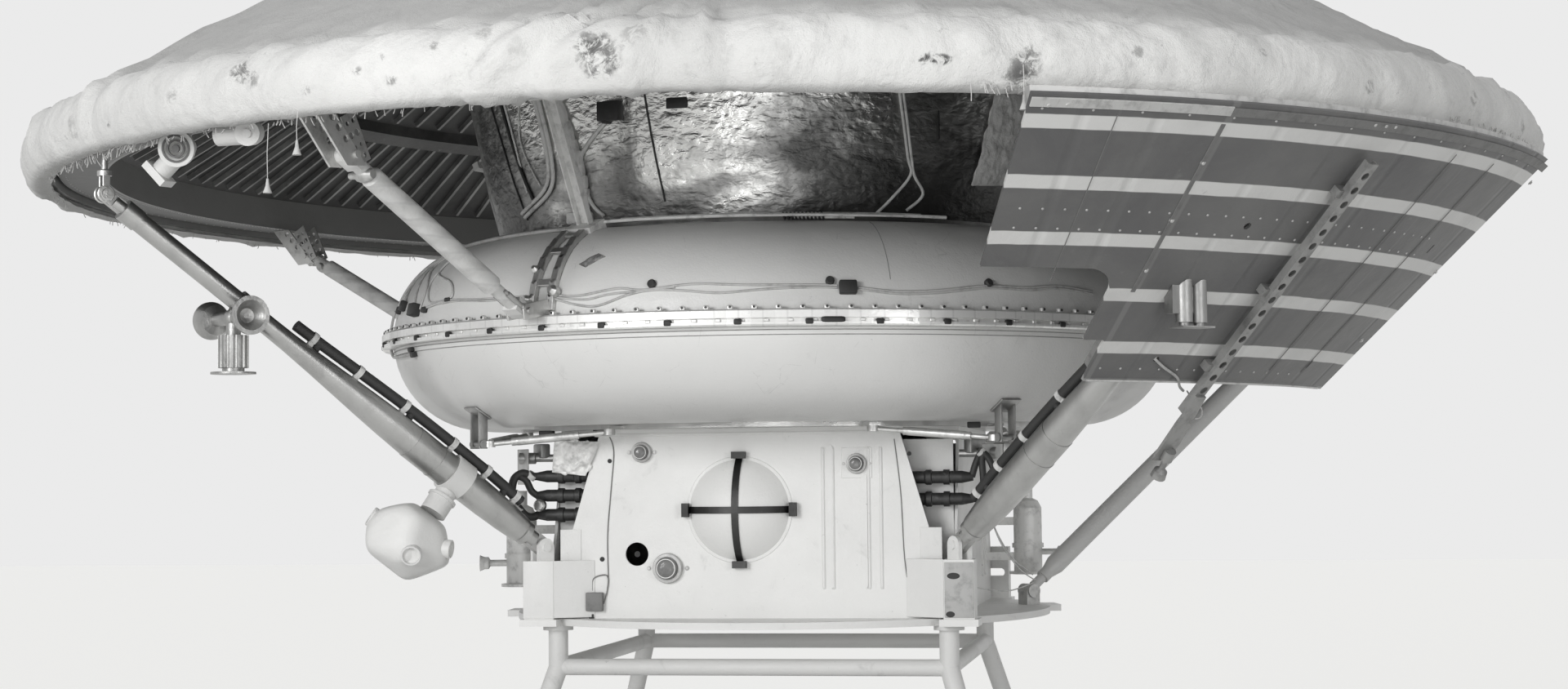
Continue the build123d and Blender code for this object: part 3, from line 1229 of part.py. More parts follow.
def make_ring_posts():
    """Leaning channel posts with tee heads on top of the parachute ring."""
    room = torus_solid(SEAT_GAP)
    posts = []
    foot_level = RING_LEVEL + math.sqrt(RING_TUBE ** 2 - (POST_FOOT_R - RING_CENTRE_R) ** 2)
    for azimuth in UPPER_STRUT_AZIMUTHS:
        lean = math.atan2(POST_TOP_R - POST_FOOT_R, POST_TOP_LEVEL - foot_level)
        length = (POST_TOP_LEVEL - foot_level) / math.cos(lean)
        middle = length / 2 - POST_SINK / 2
        post = Pos(0, 0, middle) * Box(POST_DEPTH, POST_WIDTH, length + POST_SINK)
        hollow = Box(POST_DEPTH, POST_WIDTH - 2 * POST_WALL, length + 3 * POST_SINK)
        post -= Pos(POST_WALL, 0, middle) * hollow
        post += Pos(0, 0, length) * Box(POST_DEPTH, POST_TEE_WIDTH, POST_TEE_HEIGHT)
        post += Pos(4, 0, 4) * Box(*POST_FOOT_SIZE)
        placed = Pos(POST_FOOT_R, 0, PLATE_TOP + foot_level) * Rot(0, math.degrees(lean), 0) * post
        posts.append(Rot(0, 0, azimuth) * placed - room)
    save("ring_posts", solids(posts))


def make_corner_plugs():
    """Rows of plugs on small boards behind the front and rear panels."""
    boards = []
    back = -BOX_FACE + PANEL_THICK
    axis_y = back + PLUG_AXIS_GAP
    stations = [(distance, PLUG_RADIUS + share * PLUG_COLLAR) for distance, share in PLUG_STATIONS]
    for turn in (0, 180):
        for side, levels in ((-1, PLUG_LEVELS_LEFT), (1, PLUG_LEVELS_RIGHT)):
            low = min(levels) - 2 * PLUG_RADIUS
            high = max(levels) + 2 * PLUG_RADIUS
            x_board = side * PLUG_ROOT
            board = box_at((x_board - PLUG_BOARD_THICK / 2, x_board + PLUG_BOARD_THICK / 2),
                           (back, back + PLUG_BOARD_DEPTH), (low, high))
            for level in levels:
                root = Vector(x_board, axis_y, PLATE_TOP + level)
                tip = Vector(side * PLUG_REACH, axis_y, PLATE_TOP + level)
                tail = ((tip - root).length, PLUG_TAIL_RADIUS)
                board += turned_rod(root, tip, stations + [tail])
            boards.append(Rot(0, 0, turn) * board)
    save("corner_plugs", solids(boards))


def make_bottles():
    """Upright valve bottles on arms from the left and right panels."""
    bottles = []
    stations = [(rise, BOTTLE_RADIUS * share) for rise, share in BOTTLE_SHAPE]
    for side in (-1, 1):
        base = Vector(side * BOTTLE_X, side * BOTTLE_Y, PLATE_TOP + BOTTLE_LOW)
        bottle = turned_rod(base, base + Vector(0, 0, BOTTLE_HEIGHT), stations)
        root = base + Vector(0, 0, NOZZLE_RISE)
        tip = root + Vector(side * NOZZLE_OUT, side * NOZZLE_ASIDE, 0)
        bottle += turned_rod(root, tip, NOZZLE_SHAPE)
        for rise in BOTTLE_ARM_HEIGHTS:
            x_range = sorted((side * BOX_FACE, side * (BOTTLE_X - BOTTLE_RADIUS + 8)))
            y_range = (side * BOTTLE_Y - BOTTLE_ARM_WIDTH / 2, side * BOTTLE_Y + BOTTLE_ARM_WIDTH / 2)
            level = BOTTLE_LOW + rise
            bottle += box_at(x_range, y_range, (level - BOTTLE_ARM_WIDTH / 2, level + BOTTLE_ARM_WIDTH / 2))
        bottles.append(bottle)
    save("valve_bottles", solids(bottles))


def make_thin_strut_feet():
    """Low pedestals with a cross bolt at the feet of the thin struts."""
    feet = []
    for foot_azimuth, top_azimuth in THIN_STRUTS:
        foot = polar(THIN_FOOT_R, foot_azimuth, THIN_FOOT_LEVEL)
        top = polar(THIN_TOP_R, top_azimuth, THIN_TOP_LEVEL)
        heading = math.degrees(math.atan2(top.Y - foot.Y, top.X - foot.X))
        barrel = cross_pin(foot, heading, THIN_BARREL_RADIUS, 44)
        block = Pos(foot.X, foot.Y, PLATE_TOP + THIN_FOOT_LEVEL / 2) * Rot(0, 0, heading) * Box(
            34, 34, THIN_FOOT_LEVEL)
        feet.append(barrel + block)
    save("thin_strut_feet", solids(feet))


def make_beam():
    """Perforated channel beam on clips, with its end gusset and small nozzle."""
    slope = math.atan2(SKIN_TOP_LEVEL - SKIN_FOOT_LEVEL, SKIN_TOP_R - SKIN_FOOT_R)
    length = (BEAM_TOP_R - BEAM_FOOT_R) / math.cos(slope)
    middle_r = (BEAM_TOP_R + BEAM_FOOT_R) / 2
    outward = BEAM_STANDOFF + BEAM_DEPTH / 2
    beam = Box(length, BEAM_WIDTH, BEAM_DEPTH)
    beam -= Pos(0, 0, BEAM_WALL) * Box(length + 10, BEAM_WIDTH - 2 * BEAM_WALL, BEAM_DEPTH)
    count = int((length - 20) / BEAM_PITCH)
    for index in range(count):
        x = (index - (count - 1) / 2) * BEAM_PITCH
        beam -= Pos(x, 0, 0) * Cylinder(BEAM_HOLE_RADIUS, 60)
    clip_height = BEAM_DEPTH / 2 + BEAM_STANDOFF - 2 * SEAT_GAP
    for share in BEAM_CLIP_SHARES:
        place = Pos((share - 0.5) * length, 0, (BEAM_DEPTH / 2 + BEAM_STANDOFF) / 2)
        beam += place * Box(BEAM_CLIP_LENGTH, BEAM_WIDTH + 2 * BEAM_CLIP_OVERHANG, clip_height)
    end_x = -length / 2
    half = BEAM_WIDTH / 2
    far_x = end_x - GUSSET_LENGTH
    top_y = GUSSET_WIDTH / 2 + 8
    plate = Polyline((end_x + GUSSET_LAP, half), (end_x + GUSSET_LAP, -half), (end_x - GUSSET_NECK, -half),
                     (far_x, 8 - half), (far_x, top_y), (far_x + GUSSET_LAP, top_y - 2), close=True)
    gusset = Pos(0, 0, -BEAM_DEPTH / 2 - GUSSET_THICK) * extrude(make_face(plate), GUSSET_THICK)
    low_z = -BEAM_DEPTH / 2
    root = Vector(far_x, 0, low_z) + Vector(*BEAM_NOZZLE_ROOT)
    tip = Vector(far_x, 0, low_z) + Vector(*BEAM_NOZZLE_TIP)
    nozzle = turned_rod(root, tip, BEAM_NOZZLE_SHAPE)
    beam += gusset + nozzle
    place = Pos(middle_r, 0, PLATE_TOP + skin_level(middle_r)) * Rot(0, -math.degrees(slope), 0)
    placed = Rot(0, 0, BEAM_AZIMUTH) * place * Pos(0, 0, -outward) * beam
    save("perforated_beam", placed)


def make_panel_thrusters():
    """Pair of upright cylinders with an end plate, seated on the striped panel."""
    room = skin_sector(SKIN_FOOT_R - 50, SKIN_TOP_R, SKIN_WEST, SKIN_EAST, 260, -SEAT_GAP)
    turn = math.degrees(THRUSTER_SPACING / 2 / THRUSTER_R)
    low_level = skin_level(THRUSTER_R) - THRUSTER_DROP
    cap_at = THRUSTER_LENGTH - THRUSTER_CAP
    pair = None
    for side in (-1, 1):
        low = polar(THRUSTER_R, THRUSTER_AZIMUTH + side * turn, low_level)
        high = polar(THRUSTER_R, THRUSTER_AZIMUTH + side * turn, low_level + THRUSTER_LENGTH)
        can = turned_rod(low, high, (
            (0, THRUSTER_STEM_RADIUS), (THRUSTER_STEM, THRUSTER_STEM_RADIUS),
            (THRUSTER_STEM, THRUSTER_RADIUS), (cap_at, THRUSTER_RADIUS),
            (cap_at, THRUSTER_RADIUS + 1), (cap_at + THRUSTER_BAND, THRUSTER_RADIUS + 1),
            (cap_at + THRUSTER_BAND, THRUSTER_RADIUS - 2), (THRUSTER_LENGTH, THRUSTER_RADIUS - 2)))
        pair = can if pair is None else pair + can
    web = Pos(THRUSTER_R - 4, 0, PLATE_TOP + low_level + THRUSTER_LENGTH / 2 + 10) * Box(
        THRUSTER_WEB_DEPTH, THRUSTER_SPACING, cap_at)
    plate = Pos(THRUSTER_R, 0, PLATE_TOP + low_level) * Box(
        THRUSTER_PLATE_WIDTH, THRUSTER_SPACING + THRUSTER_PLATE_WIDTH, THRUSTER_PLATE_THICK)
    box_level = PLATE_TOP + low_level + THRUSTER_BOX_RISE
    box_y = -THRUSTER_SPACING / 2 - THRUSTER_BOX_SIZE[0]
    side_box = Pos(THRUSTER_R - 6, box_y, box_level) * Box(*THRUSTER_BOX_SIZE)
    pair += Rot(0, 0, THRUSTER_AZIMUTH) * (web + plate + side_box)
    save("panel_thrusters", pair - room)


def main():
    make_stand()
    make_base_plate()
    make_box()
    make_corner_fittings()
    make_struts()
    make_eye_rods()
    make_ring()
    make_capsule()
    make_shell()
    make_upper_struts()
    make_striped_panel()
    make_turnbuckles()
    make_trunks()
    make_sensor_head()
    make_strut_horns()
    make_rim_jets()
    make_ring_posts()
    make_corner_plugs()
    make_bottles()
    make_thin_strut_feet()
    make_beam()
    make_panel_thrusters()


main()
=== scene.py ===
"""Finishes for an entry lander on its tube stand, laid out as a Blender add-on.

Metres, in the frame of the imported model: +Z up, the origin on the floor under
the vehicle's axis.  Azimuths run from +X towards +Y and levels are measured
from the top of the base plate.
"""

import math
import random

import bpy
import numpy as np
from bpy.props import FloatProperty, FloatVectorProperty, IntProperty, PointerProperty
from bpy.types import Operator, Panel, PropertyGroup
from mathutils import Matrix, Vector, noise


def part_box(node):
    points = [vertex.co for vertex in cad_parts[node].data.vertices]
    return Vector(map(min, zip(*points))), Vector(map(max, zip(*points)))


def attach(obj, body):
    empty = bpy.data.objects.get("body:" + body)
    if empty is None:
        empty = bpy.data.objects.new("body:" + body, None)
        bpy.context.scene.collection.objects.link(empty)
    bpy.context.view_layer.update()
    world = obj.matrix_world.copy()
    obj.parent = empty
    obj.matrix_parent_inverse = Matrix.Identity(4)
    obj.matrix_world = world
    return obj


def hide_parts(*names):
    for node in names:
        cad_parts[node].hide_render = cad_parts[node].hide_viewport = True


bl_info = {
    "name": "Entry lander finishes",
    "version": (1, 0, 0),
    "blender": (4, 5, 0),
    "location": "View3D > Sidebar > Lander",
    "description": "Cloth cover, foil, paint and small fittings for the entry lander",
    "category": "Object",
}

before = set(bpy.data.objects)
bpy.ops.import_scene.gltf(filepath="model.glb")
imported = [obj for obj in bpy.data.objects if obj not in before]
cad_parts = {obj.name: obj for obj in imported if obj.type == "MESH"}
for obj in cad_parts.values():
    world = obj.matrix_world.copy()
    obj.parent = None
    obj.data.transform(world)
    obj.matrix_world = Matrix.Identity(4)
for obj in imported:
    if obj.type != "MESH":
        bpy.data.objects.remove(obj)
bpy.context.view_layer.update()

# Level of the base plate's top, from which all other levels are measured
PLATE_TOP = 0.950
# Shell: slope of its cone, radius and level of its rim, radius of its nose, level under the rim's ring
SHELL_ANGLE = math.radians(30.0)
SHELL_TAN = math.tan(SHELL_ANGLE)
SHELL_COS = math.cos(SHELL_ANGLE)
RIM_R = 1.600
RIM_LEVEL = 0.900
NOSE_R = 0.700
UNDER_RIM = 0.919
# Cloth cover: distance of its outer and inner side from the shell's inner surface, radius of its crease
COVER_OUT = 0.078
COVER_IN = 0.0412
CREASE_R = 1.549
# Hem under the rim: level up to which it droops, radii of its outer part and of its ragged edge
HEM_TOP = 0.925
HEM_OUT = 1.600
HEM_EDGE = 1.552
# Parachute ring and its clamp band
RING_R = 0.652
RING_LEVEL = 0.588
RING_TUBE = 0.195
BAND_R = 0.872
BAND_TOP = 0.598
BAND_SLOT = 0.577
BAND_SEGMENT = 3.0
# Instrument box: faces of its front panel and corner fittings, plane of its linings, tank opening
BOX_FACE = 0.420
FITTING_FACE = 0.4622
LINING_Y = 0.3540
TANK_X = -0.018
TANK_LEVEL = 0.220
TANK_HOLE = 0.104
# Striped panel: (radius, level) of its upper and lower edge, outward way of its face
SKIN_TOP = (1.640, 0.882)
SKIN_FOOT = (1.190, 0.450)
SKIN_OUT = (0.6925, -0.7214)
# Capsule: levels and the radii at them, azimuth at which the foil's painted highlight is brightest
CAPSULE_LEVELS = (0.796, 0.900, 1.110, 1.250)
CAPSULE_RADII = (0.612, 0.640, 0.684, 0.692)
FOIL_FRONT = math.radians(251.0)
# Struts: azimuths, and (radius, level) of their pins
STRUT_AZIMUTHS = (135, 225, 315)
STRUT_FOOT = (0.608, 0.147)
STRUT_TOP = (1.533, 0.822)
UPPER_AZIMUTHS = (68.0, 158.0, 247.0, 338.0)
UPPER_FOOT = (0.915, 0.604)
FORK_AZIMUTHS = (45.0, 135.0, 225.0, 315.0)
THIN_AZIMUTHS = (29.5, 60.5)
THIN_CUP = (1.500, 0.822)
SEED = 7
# Angles in degrees under which edges are shaded smooth: sharp pieces, rounded ones, soft ones
SHARP = 35.0
ROUNDED = 60.0
SOFT = 180.0
UP = Vector((0.0, 0.0, 1.0))
FORWARD = Vector((0.0, -1.0, 0.0))


def at(radius, azimuth, level):
    """Point at a radius, an azimuth in degrees and a level over the base plate."""
    angle = math.radians(azimuth)
    return Vector((radius * math.cos(angle), radius * math.sin(angle), PLATE_TOP + level))


def pin_at(place, azimuth):
    """Point of a (radius, level) pin at an azimuth."""
    return at(place[0], azimuth, place[1])


def spot(x, y, level):
    """Point from x, y and a level over the base plate."""
    return Vector((x, y, PLATE_TOP + level))


def inner_level(radius):
    """Level of the shell's inner surface."""
    return RIM_LEVEL + (RIM_R - radius) * SHELL_TAN


def on_skin(azimuth, share, lift=0.0):
    """Point on the striped panel's outer face, by the share of its slope."""
    radius = SKIN_FOOT[0] + share * (SKIN_TOP[0] - SKIN_FOOT[0])
    level = SKIN_FOOT[1] + share * (SKIN_TOP[1] - SKIN_FOOT[1])
    return at(radius + lift * SKIN_OUT[0], azimuth, level + lift * SKIN_OUT[1])


def skin_way(azimuth):
    """Outward direction of the striped panel."""
    angle = math.radians(azimuth)
    return Vector((math.cos(angle) * SKIN_OUT[0], math.sin(angle) * SKIN_OUT[0], SKIN_OUT[1]))


def on_ring(azimuth, turn, lift=0.0):
    """Point on the parachute ring; the turn is measured up from its outermost line."""
    reach = RING_TUBE + lift
    angle = math.radians(turn)
    return at(RING_R + reach * math.cos(angle), azimuth, RING_LEVEL + reach * math.sin(angle))


def ring_way(azimuth, turn):
    """Outward direction of the parachute ring."""
    flat, steep = math.radians(azimuth), math.radians(turn)
    return Vector((math.cos(flat) * math.cos(steep), math.sin(flat) * math.cos(steep), math.sin(steep)))


def on_capsule(azimuth, level, lift=0.0):
    """Point on the capsule's side."""
    return at(float(np.interp(level, CAPSULE_LEVELS, CAPSULE_RADII)) + lift, azimuth, level)


def on_front(x, level, lift=0.0):
    """Point on the face of the box's front panel."""
    return spot(x, -BOX_FACE - lift, level)


def flat_way(azimuth):
    """Level direction away from the axis."""
    angle = math.radians(azimuth)
    return Vector((math.cos(angle), math.sin(angle), 0.0))


def sideways(azimuth):
    """Level direction across the one away from the axis, to the right of one who looks inwards."""
    angle = math.radians(azimuth)
    return Vector((math.sin(angle), -math.cos(angle), 0.0))


def eased(places, steps=6):
    """Evenly curved run of places through the given ones."""
    table = [places[0], *places, places[-1]]
    run = []
    for before, start, end, after in zip(table, table[1:], table[2:], table[3:]):
        for step in range(steps):
            t = step / steps
            run.append(tuple(
                0.5 * (2 * b + (c - a) * t + (2 * a - 5 * b + 4 * c - d) * t * t
                       + (3 * b - a - 3 * c + d) * t ** 3)
                for a, b, c, d in zip(before, start, end, after)))
    run.append(tuple(places[-1]))
    return run


def smooth(low, high, value):
    """Smooth step that also works on arrays."""
    t = np.clip((value - low) / (high - low), 0.0, 1.0)
    return t * t * (3.0 - 2.0 * t)


class Value:
    """A shader socket that takes part in arithmetic by adding Math nodes."""

    def __init__(self, board, socket):
        self.board = board
        self.socket = socket

    def math(self, operation, other=None):
        inputs = {0: self.socket} if other is None else {0: self.socket, 1: other}
        return self.board.value("ShaderNodeMath", {"operation": operation}, inputs)

    def swapped(self, operation, other):
        return self.board.value("ShaderNodeMath", {"operation": operation}, {0: other, 1: self.socket})

    def __add__(self, other):
        return self.math("ADD", other)

    __radd__ = __add__

    def __sub__(self, other):
        return self.math("SUBTRACT", other)

    def __rsub__(self, other):
        return self.swapped("SUBTRACT", other)

    def __mul__(self, other):
        return self.math("MULTIPLY", other)

    __rmul__ = __mul__

    def __truediv__(self, other):
        return self.math("DIVIDE", other)

    def __pow__(self, other):
        return self.math("POWER", other)

    def step(self, low, high):
        """Smooth step from low to high, clamped to 0..1."""
        settings = {"interpolation_type": "SMOOTHSTEP", "clamp": True}
        return self.board.value("ShaderNodeMapRange", settings, {"Value": self.socket, 1: low, 2: high})


class Board:
    """The node tree of one material, or of the world."""

    def __init__(self, name, world=False):
        self.owner = (bpy.data.worlds if world else bpy.data.materials).new(name)
        self.owner.use_nodes = True
        self.tree = self.owner.node_tree
        if world:
            self.tree.nodes.clear()
        else:
            self.shader = self.tree.nodes["Principled BSDF"]
            self.place = self.add("ShaderNodeTexCoord").outputs["Object"]

    def feed(self, target, item):
        """Links a socket to an input, or sets its value; colours are triples."""
        item = item.socket if isinstance(item, Value) else item
        if isinstance(item, bpy.types.NodeSocket):
            self.tree.links.new(item, target)
        else:
            target.default_value = (*item, 1.0) if target.type == "RGBA" else item

    def add(self, kind, settings=None, inputs=None):
        """One node: its settings first, then the values or links of its inputs."""
        node = self.tree.nodes.new(kind)
        for key, item in (settings or {}).items():
            setattr(node, key, item)
        for key, item in (inputs or {}).items():
            self.feed(node.inputs[key], item)
        return node

    def value(self, kind, settings, inputs):
        return Value(self, self.add(kind, settings, inputs).outputs[0])

    def axes(self):
        """The piece's own x, y and z."""
        node = self.add("ShaderNodeSeparateXYZ", {}, {0: self.place})
        return [Value(self, node.outputs[index]) for index in range(3)]

    def radius(self):
        """Distance from the vehicle's axis."""
        x, y, _ = self.axes()
        return (x * x + y * y) ** 0.5

    def noise(self, scale, detail=3.0, rough=0.55, stretch=None, warp=0.0):
        vector = self.place
        if stretch is not None:
            vector = self.add("ShaderNodeMapping", {}, {"Vector": vector, "Scale": stretch}).outputs[0]
        return self.value("ShaderNodeTexNoise", {}, {
            "Vector": vector, "Scale": scale, "Detail": detail, "Roughness": rough, "Distortion": warp})

    def cells(self, scale, feature):
        return self.value("ShaderNodeTexVoronoi", {"feature": feature}, {"Vector": self.place, "Scale": scale})

    def mix(self, factor, first, second):
        """Colour mix; colours are triples or sockets."""
        return self.add("ShaderNodeMix", {"data_type": "RGBA"}, {0: factor, 6: first, 7: second}).outputs[2]

    def over(self, colour, *layers):
        """Colour with (mask, grey level) layers laid over it one after the other."""
        for mask, level in layers:
            colour = self.mix(mask, colour, grey(level))
        return colour

    def near(self, centre, size):
        """Mask round a point with a ragged edge."""
        gap = self.add("ShaderNodeVectorMath", {"operation": "DISTANCE"}, {0: self.place, 1: tuple(centre)})
        wobble = (self.noise(60.0, 4.0) - 0.5) * (size * 1.2)
        return 1.0 - (Value(self, gap.outputs["Value"]) + wobble).step(size * 0.45, size)

    def line(self, value, place, inner, outer):
        """Mask of the line where a value comes near a place."""
        return 1.0 - (value - place).math("ABSOLUTE").step(inner, outer)

    def highest(self, masks):
        """The highest of several masks."""
        top = masks[0]
        for mask in masks[1:]:
            top = top.math("MAXIMUM", mask)
        return top

    def bumps(self, *layers):
        """Surface direction from (height, depth) layers, the coarsest first."""
        normal = {}
        for height, depth in layers:
            inputs = {"Strength": 1.0, "Distance": depth, "Height": height, **normal}
            normal = {"Normal": self.add("ShaderNodeBump", {}, inputs).outputs[0]}
        return normal["Normal"]

    def seen(self):
        """One for what the camera sees, also mirrored or through glass, zero for light on surfaces."""
        path = self.add("ShaderNodeLightPath")
        return self.highest([Value(self, path.outputs[f"Is {kind} Ray"])
                             for kind in ("Camera", "Glossy", "Transmission")])

    def finish(self, colour, roughness, metallic, normal=None, **others):
        inputs = {"Base Color": colour, "Roughness": roughness, "Metallic": metallic, "Normal": normal}
        inputs.update((key.replace("_", " "), item) for key, item in others.items())
        for key, item in inputs.items():
            if item is not None:
                self.feed(self.shader.inputs[key], item)
        return self.owner


def grey(level):
    return (level, level, level * 0.985)


def cover_cloth(cloth):
    """Woven cotton of the cover: stains, scorched spots and weave, with painted shade on the slope and along
    the hem.
    """
    b = Board("cover_cloth")
    z, radius = b.axes()[2], b.radius()
    # Painted shade: the cloth above the rim roll is greyed, and its streaks are painted shadows of folds
    slope = 1.0 - radius.step(RIM_R - 0.092, RIM_R - 0.04)
    blot = b.noise(6.0, 6.0, 0.65)
    streak = b.noise(3.4, 6.0, 0.62, stretch=(1.0, 1.0, 5.0)).step(0.5, 0.74)
    smear = b.noise(11.0, 6.0, 0.7, stretch=(1.0, 1.0, 0.6)).step(0.57, 0.72)
    colour = b.mix(b.noise(1.6, 5.0, 0.62, warp=0.6).step(0.35, 0.68), grey(0.84), grey(0.7))
    colour = b.over(colour, (blot.step(0.54, 0.76) * 0.45, 0.5), (slope * 0.75, 0.44),
                    (streak * slope * 0.5, 0.25), (smear * 0.28, 0.36))
    charred = b.noise(50.0, 6.0, 0.75, warp=0.8).step(0.42, 0.58)
    for azimuth, spot_radius, level, size, dark in COVER_SPOTS:
        colour = b.over(colour, (b.near(at(spot_radius, azimuth, level), size * 1.15) * charred * dark, 0.06))
    # Painted shade: the cloth under the rolled rim, below the hem line, is darkened
    hem = 1.0 - z.step(PLATE_TOP + 0.893, PLATE_TOP + 0.903)
    colour = b.over(colour, (b.noise(38.0, 4.0, 0.7).step(0.66, 0.74) * 0.4, 0.25), (hem * 0.45, 0.34),
                    (b.noise(24.0, 6.0, 0.72).step(0.52, 0.72) * 0.22, 0.38))
    folds = b.noise(2.6, 4.0, 0.5, stretch=(1.0, 1.0, 0.45), warp=1.0)
    crumple = b.noise(8.0, 4.0, 0.55, warp=0.5)
    weave = (b.noise(420.0, 1.0) * 0.5) + (b.noise(70.0, 3.0, 0.6) * 0.5)
    normal = b.bumps((folds, 0.026 * cloth.crumple), (crumple, 0.014 * cloth.crumple), (weave, 0.0022))
    return b.finish(colour, 0.92, 0.0, normal, Sheen_Weight=0.2, Sheen_Roughness=0.6)


def foil_skin(foil):
    """Metallised foil: soft crinkles, a painted highlight where it faces the front and rear, painted dark
    reflection between.
    """
    b = Board("foil")
    x, y, z = b.axes()
    # Painted light: a painted highlight towards the front, rear and top, and painted dark reflection elsewhere
    facing = ((x * math.cos(FOIL_FRONT) + y * math.sin(FOIL_FRONT)) / b.radius()).math("ABSOLUTE")
    cloud = b.noise(4.4, 6.0, 0.62, stretch=(1.0, 1.0, 1.3), warp=0.4)
    painted_light = cloud + (z - PLATE_TOP - 0.93) * 0.9 + ((facing - 0.95) * 0.9).math("MAXIMUM", -0.17)
    colour = b.mix(painted_light.step(0.26, 0.4), grey(0.09), grey(0.24))
    colour = b.mix(painted_light.step(0.42, 0.58), colour, foil.bright[:])
    colour = b.over(colour, (b.noise(16.0, 6.0, 0.7).step(0.58, 0.72) * 0.4, 0.1))
    sheet = b.noise(3.2, 2.0, 0.5, warp=0.3)
    crinkle = b.noise(26.0, 4.0, 0.55, stretch=(1.0, 1.0, 1.9), warp=0.3)
    normal = b.bumps((sheet, 0.007 * foil.crinkle), (crinkle, 0.0042 * foil.crinkle),
                     (b.cells(70.0, "SMOOTH_F1"), 0.0012 * foil.crinkle))
    return b.finish(colour, 0.46 - painted_light.step(0.35, 0.6) * 0.22, 0.94, normal)


def white_paint(paint, name, shade, dirt=1.0):
    """Matte white paint with rubbed spots, dark specks and fine grain."""
    b = Board(name)
    blotch = b.noise(14.0, 6.0, 0.66, warp=0.5)
    colour = b.mix(b.noise(2.2, 4.0, 0.55).step(0.3, 0.75) * 0.5, grey(shade), grey(shade * 0.86))
    colour = b.over(colour, (blotch.step(0.6, 0.76) * (0.3 * dirt), 0.42),
                    (b.noise(75.0, 4.0, 0.7).step(0.68, 0.76) * (0.45 * dirt), 0.22))
    normal = b.bumps((b.noise(180.0, 2.0), 0.0006), (blotch, 0.0012 * paint.lumps))
    return b.finish(colour, blotch.step(0.4, 0.7) * 0.2 + 0.42, 0.0, normal)


def ring_paint(paint):
    """Paint of the parachute ring: smooth, with scuffs, faint cracks and a shaded underside."""
    b = Board("ring_paint")
    scuff = b.noise(9.0, 7.0, 0.7, warp=1.2)
    chips = 1.0 - b.cells(19.0, "DISTANCE_TO_EDGE").step(0.0, 0.02)
    below = 1.0 - b.axes()[2].step(PLATE_TOP + 0.4, PLATE_TOP + 0.47)
    colour = b.mix(b.noise(1.8, 4.0, 0.55).step(0.3, 0.75) * 0.5, grey(0.8), grey(0.7))
    colour = b.over(colour, (scuff.step(0.58, 0.72) * 0.22, 0.5), (chips * scuff.step(0.52, 0.62) * 0.3, 0.45),
                    (below * 0.25, 0.35), (b.noise(80.0, 4.0, 0.7).step(0.68, 0.75) * 0.3, 0.3))
    normal = b.bumps((b.noise(7.0, 3.0), 0.003 * paint.lumps), (b.noise(220.0, 2.0), 0.0004))
    return b.finish(colour, scuff.step(0.4, 0.7) * 0.18 + 0.34, 0.0, normal)


def drawn_tube(name, level, rough, wear=1.0):
    """Bare alloy with streaks, dull bands and small dents."""
    b = Board(name)
    streak = b.noise(16.0, 5.0, 0.6, stretch=(1.0, 1.0, 0.35))
    blot = b.noise(5.5, 5.0, 0.6)
    scratch = b.noise(40.0, 3.0, 0.7, stretch=(1.0, 1.0, 0.5))
    colour = b.mix(streak.step(0.35, 0.7) * wear, grey(level), grey(level * 0.62))
    colour = b.over(colour, (blot.step(0.58, 0.74) * (0.45 * wear), level * 0.34),
                    (scratch.step(0.58, 0.74) * 0.25, level * 0.55))
    gloss = streak * (0.16 * wear) + blot.step(0.4, 0.7) * (0.14 * wear) + rough
    return b.finish(colour, gloss, 0.95, b.bumps((b.noise(26.0, 4.0, 0.6), 0.0018 * wear),
                                                 (b.noise(240.0, 2.0), 0.0003)))


def band_alloy():
    """Clamp band of short bright segments, each a little different as a painted reflection, with dark joints.
    """
    b = Board("band_alloy")
    x, y, _ = b.axes()
    segment = y.math("ARCTAN2", x) * (180.0 / math.pi / BAND_SEGMENT)
    # Painted reflection: each segment gets its own lighter or darker grey
    shade = b.value("ShaderNodeTexWhiteNoise", {"noise_dimensions": "1D"}, {"W": segment.math("FLOOR")})
    joint = b.line(segment.math("FRACT"), 0.5, 0.02, 0.06)
    colour = b.over(b.mix(shade * 0.45, grey(0.9), grey(0.6)), (joint * 0.15, 0.2),
                    (b.noise(30.0, 4.0, 0.65).step(0.56, 0.72) * 0.4, 0.4))
    return b.finish(colour, shade * 0.2 + 0.28, 0.35, b.bumps((b.noise(120.0, 3.0), 0.0004)))


def rubbed_mark():
    """Dark rubbed mark that the paint shows through."""
    b = Board("rubbed_mark")
    worn = b.noise(34.0, 6.0, 0.8)
    return b.finish(b.mix(worn.step(0.36, 0.7), grey(0.16), grey(0.5)), 0.8, 0.0, b.bumps((worn, 0.001)))


def plug_finish():
    """Dark plugs on their white boards."""
    b = Board("plug_finish")
    board = 1.0 - b.axes()[0].math("ABSOLUTE").step(0.3, 0.303)
    worn = b.noise(60.0, 4.0, 0.7)
    colour = b.over(b.mix(worn.step(0.55, 0.75), grey(0.028), grey(0.09)), (board, 0.7))
    return b.finish(colour, worn * 0.2 + 0.4, 0.1, b.bumps((b.noise(45.0, 3.0), 0.0012)))


def dark_alloy(name, level, rough=0.5, metal=0.4):
    """Dark riveted structure and blackened steel."""
    b = Board(name)
    blot, dust = b.noise(8.0, 6.0, 0.65), b.noise(45.0, 4.0, 0.7)
    colour = b.over(b.mix(blot.step(0.35, 0.7), grey(level), grey(level * 2.0)),
                    (dust.step(0.62, 0.75) * 0.35, min(0.6, level * 5.0)))
    return b.finish(colour, blot * 0.2 + rough, metal, b.bumps((blot, 0.002), (dust, 0.0006)))


def ring_structure():
    """Outer ring inside the shell: a paler lip outside a dark bulkhead."""
    b = Board("shell_ring")
    radius, blot = b.radius(), b.noise(6.0, 6.0, 0.65)
    colour = b.over(b.mix(blot.step(0.35, 0.7), grey(0.055), grey(0.1)),
                    ((1.0 - radius.step(1.442, 1.45)) * 0.7, 0.32), (radius.step(1.536, 1.545), 0.26))
    return b.finish(colour, blot * 0.2 + 0.42, 0.3, b.bumps((blot, 0.003)))


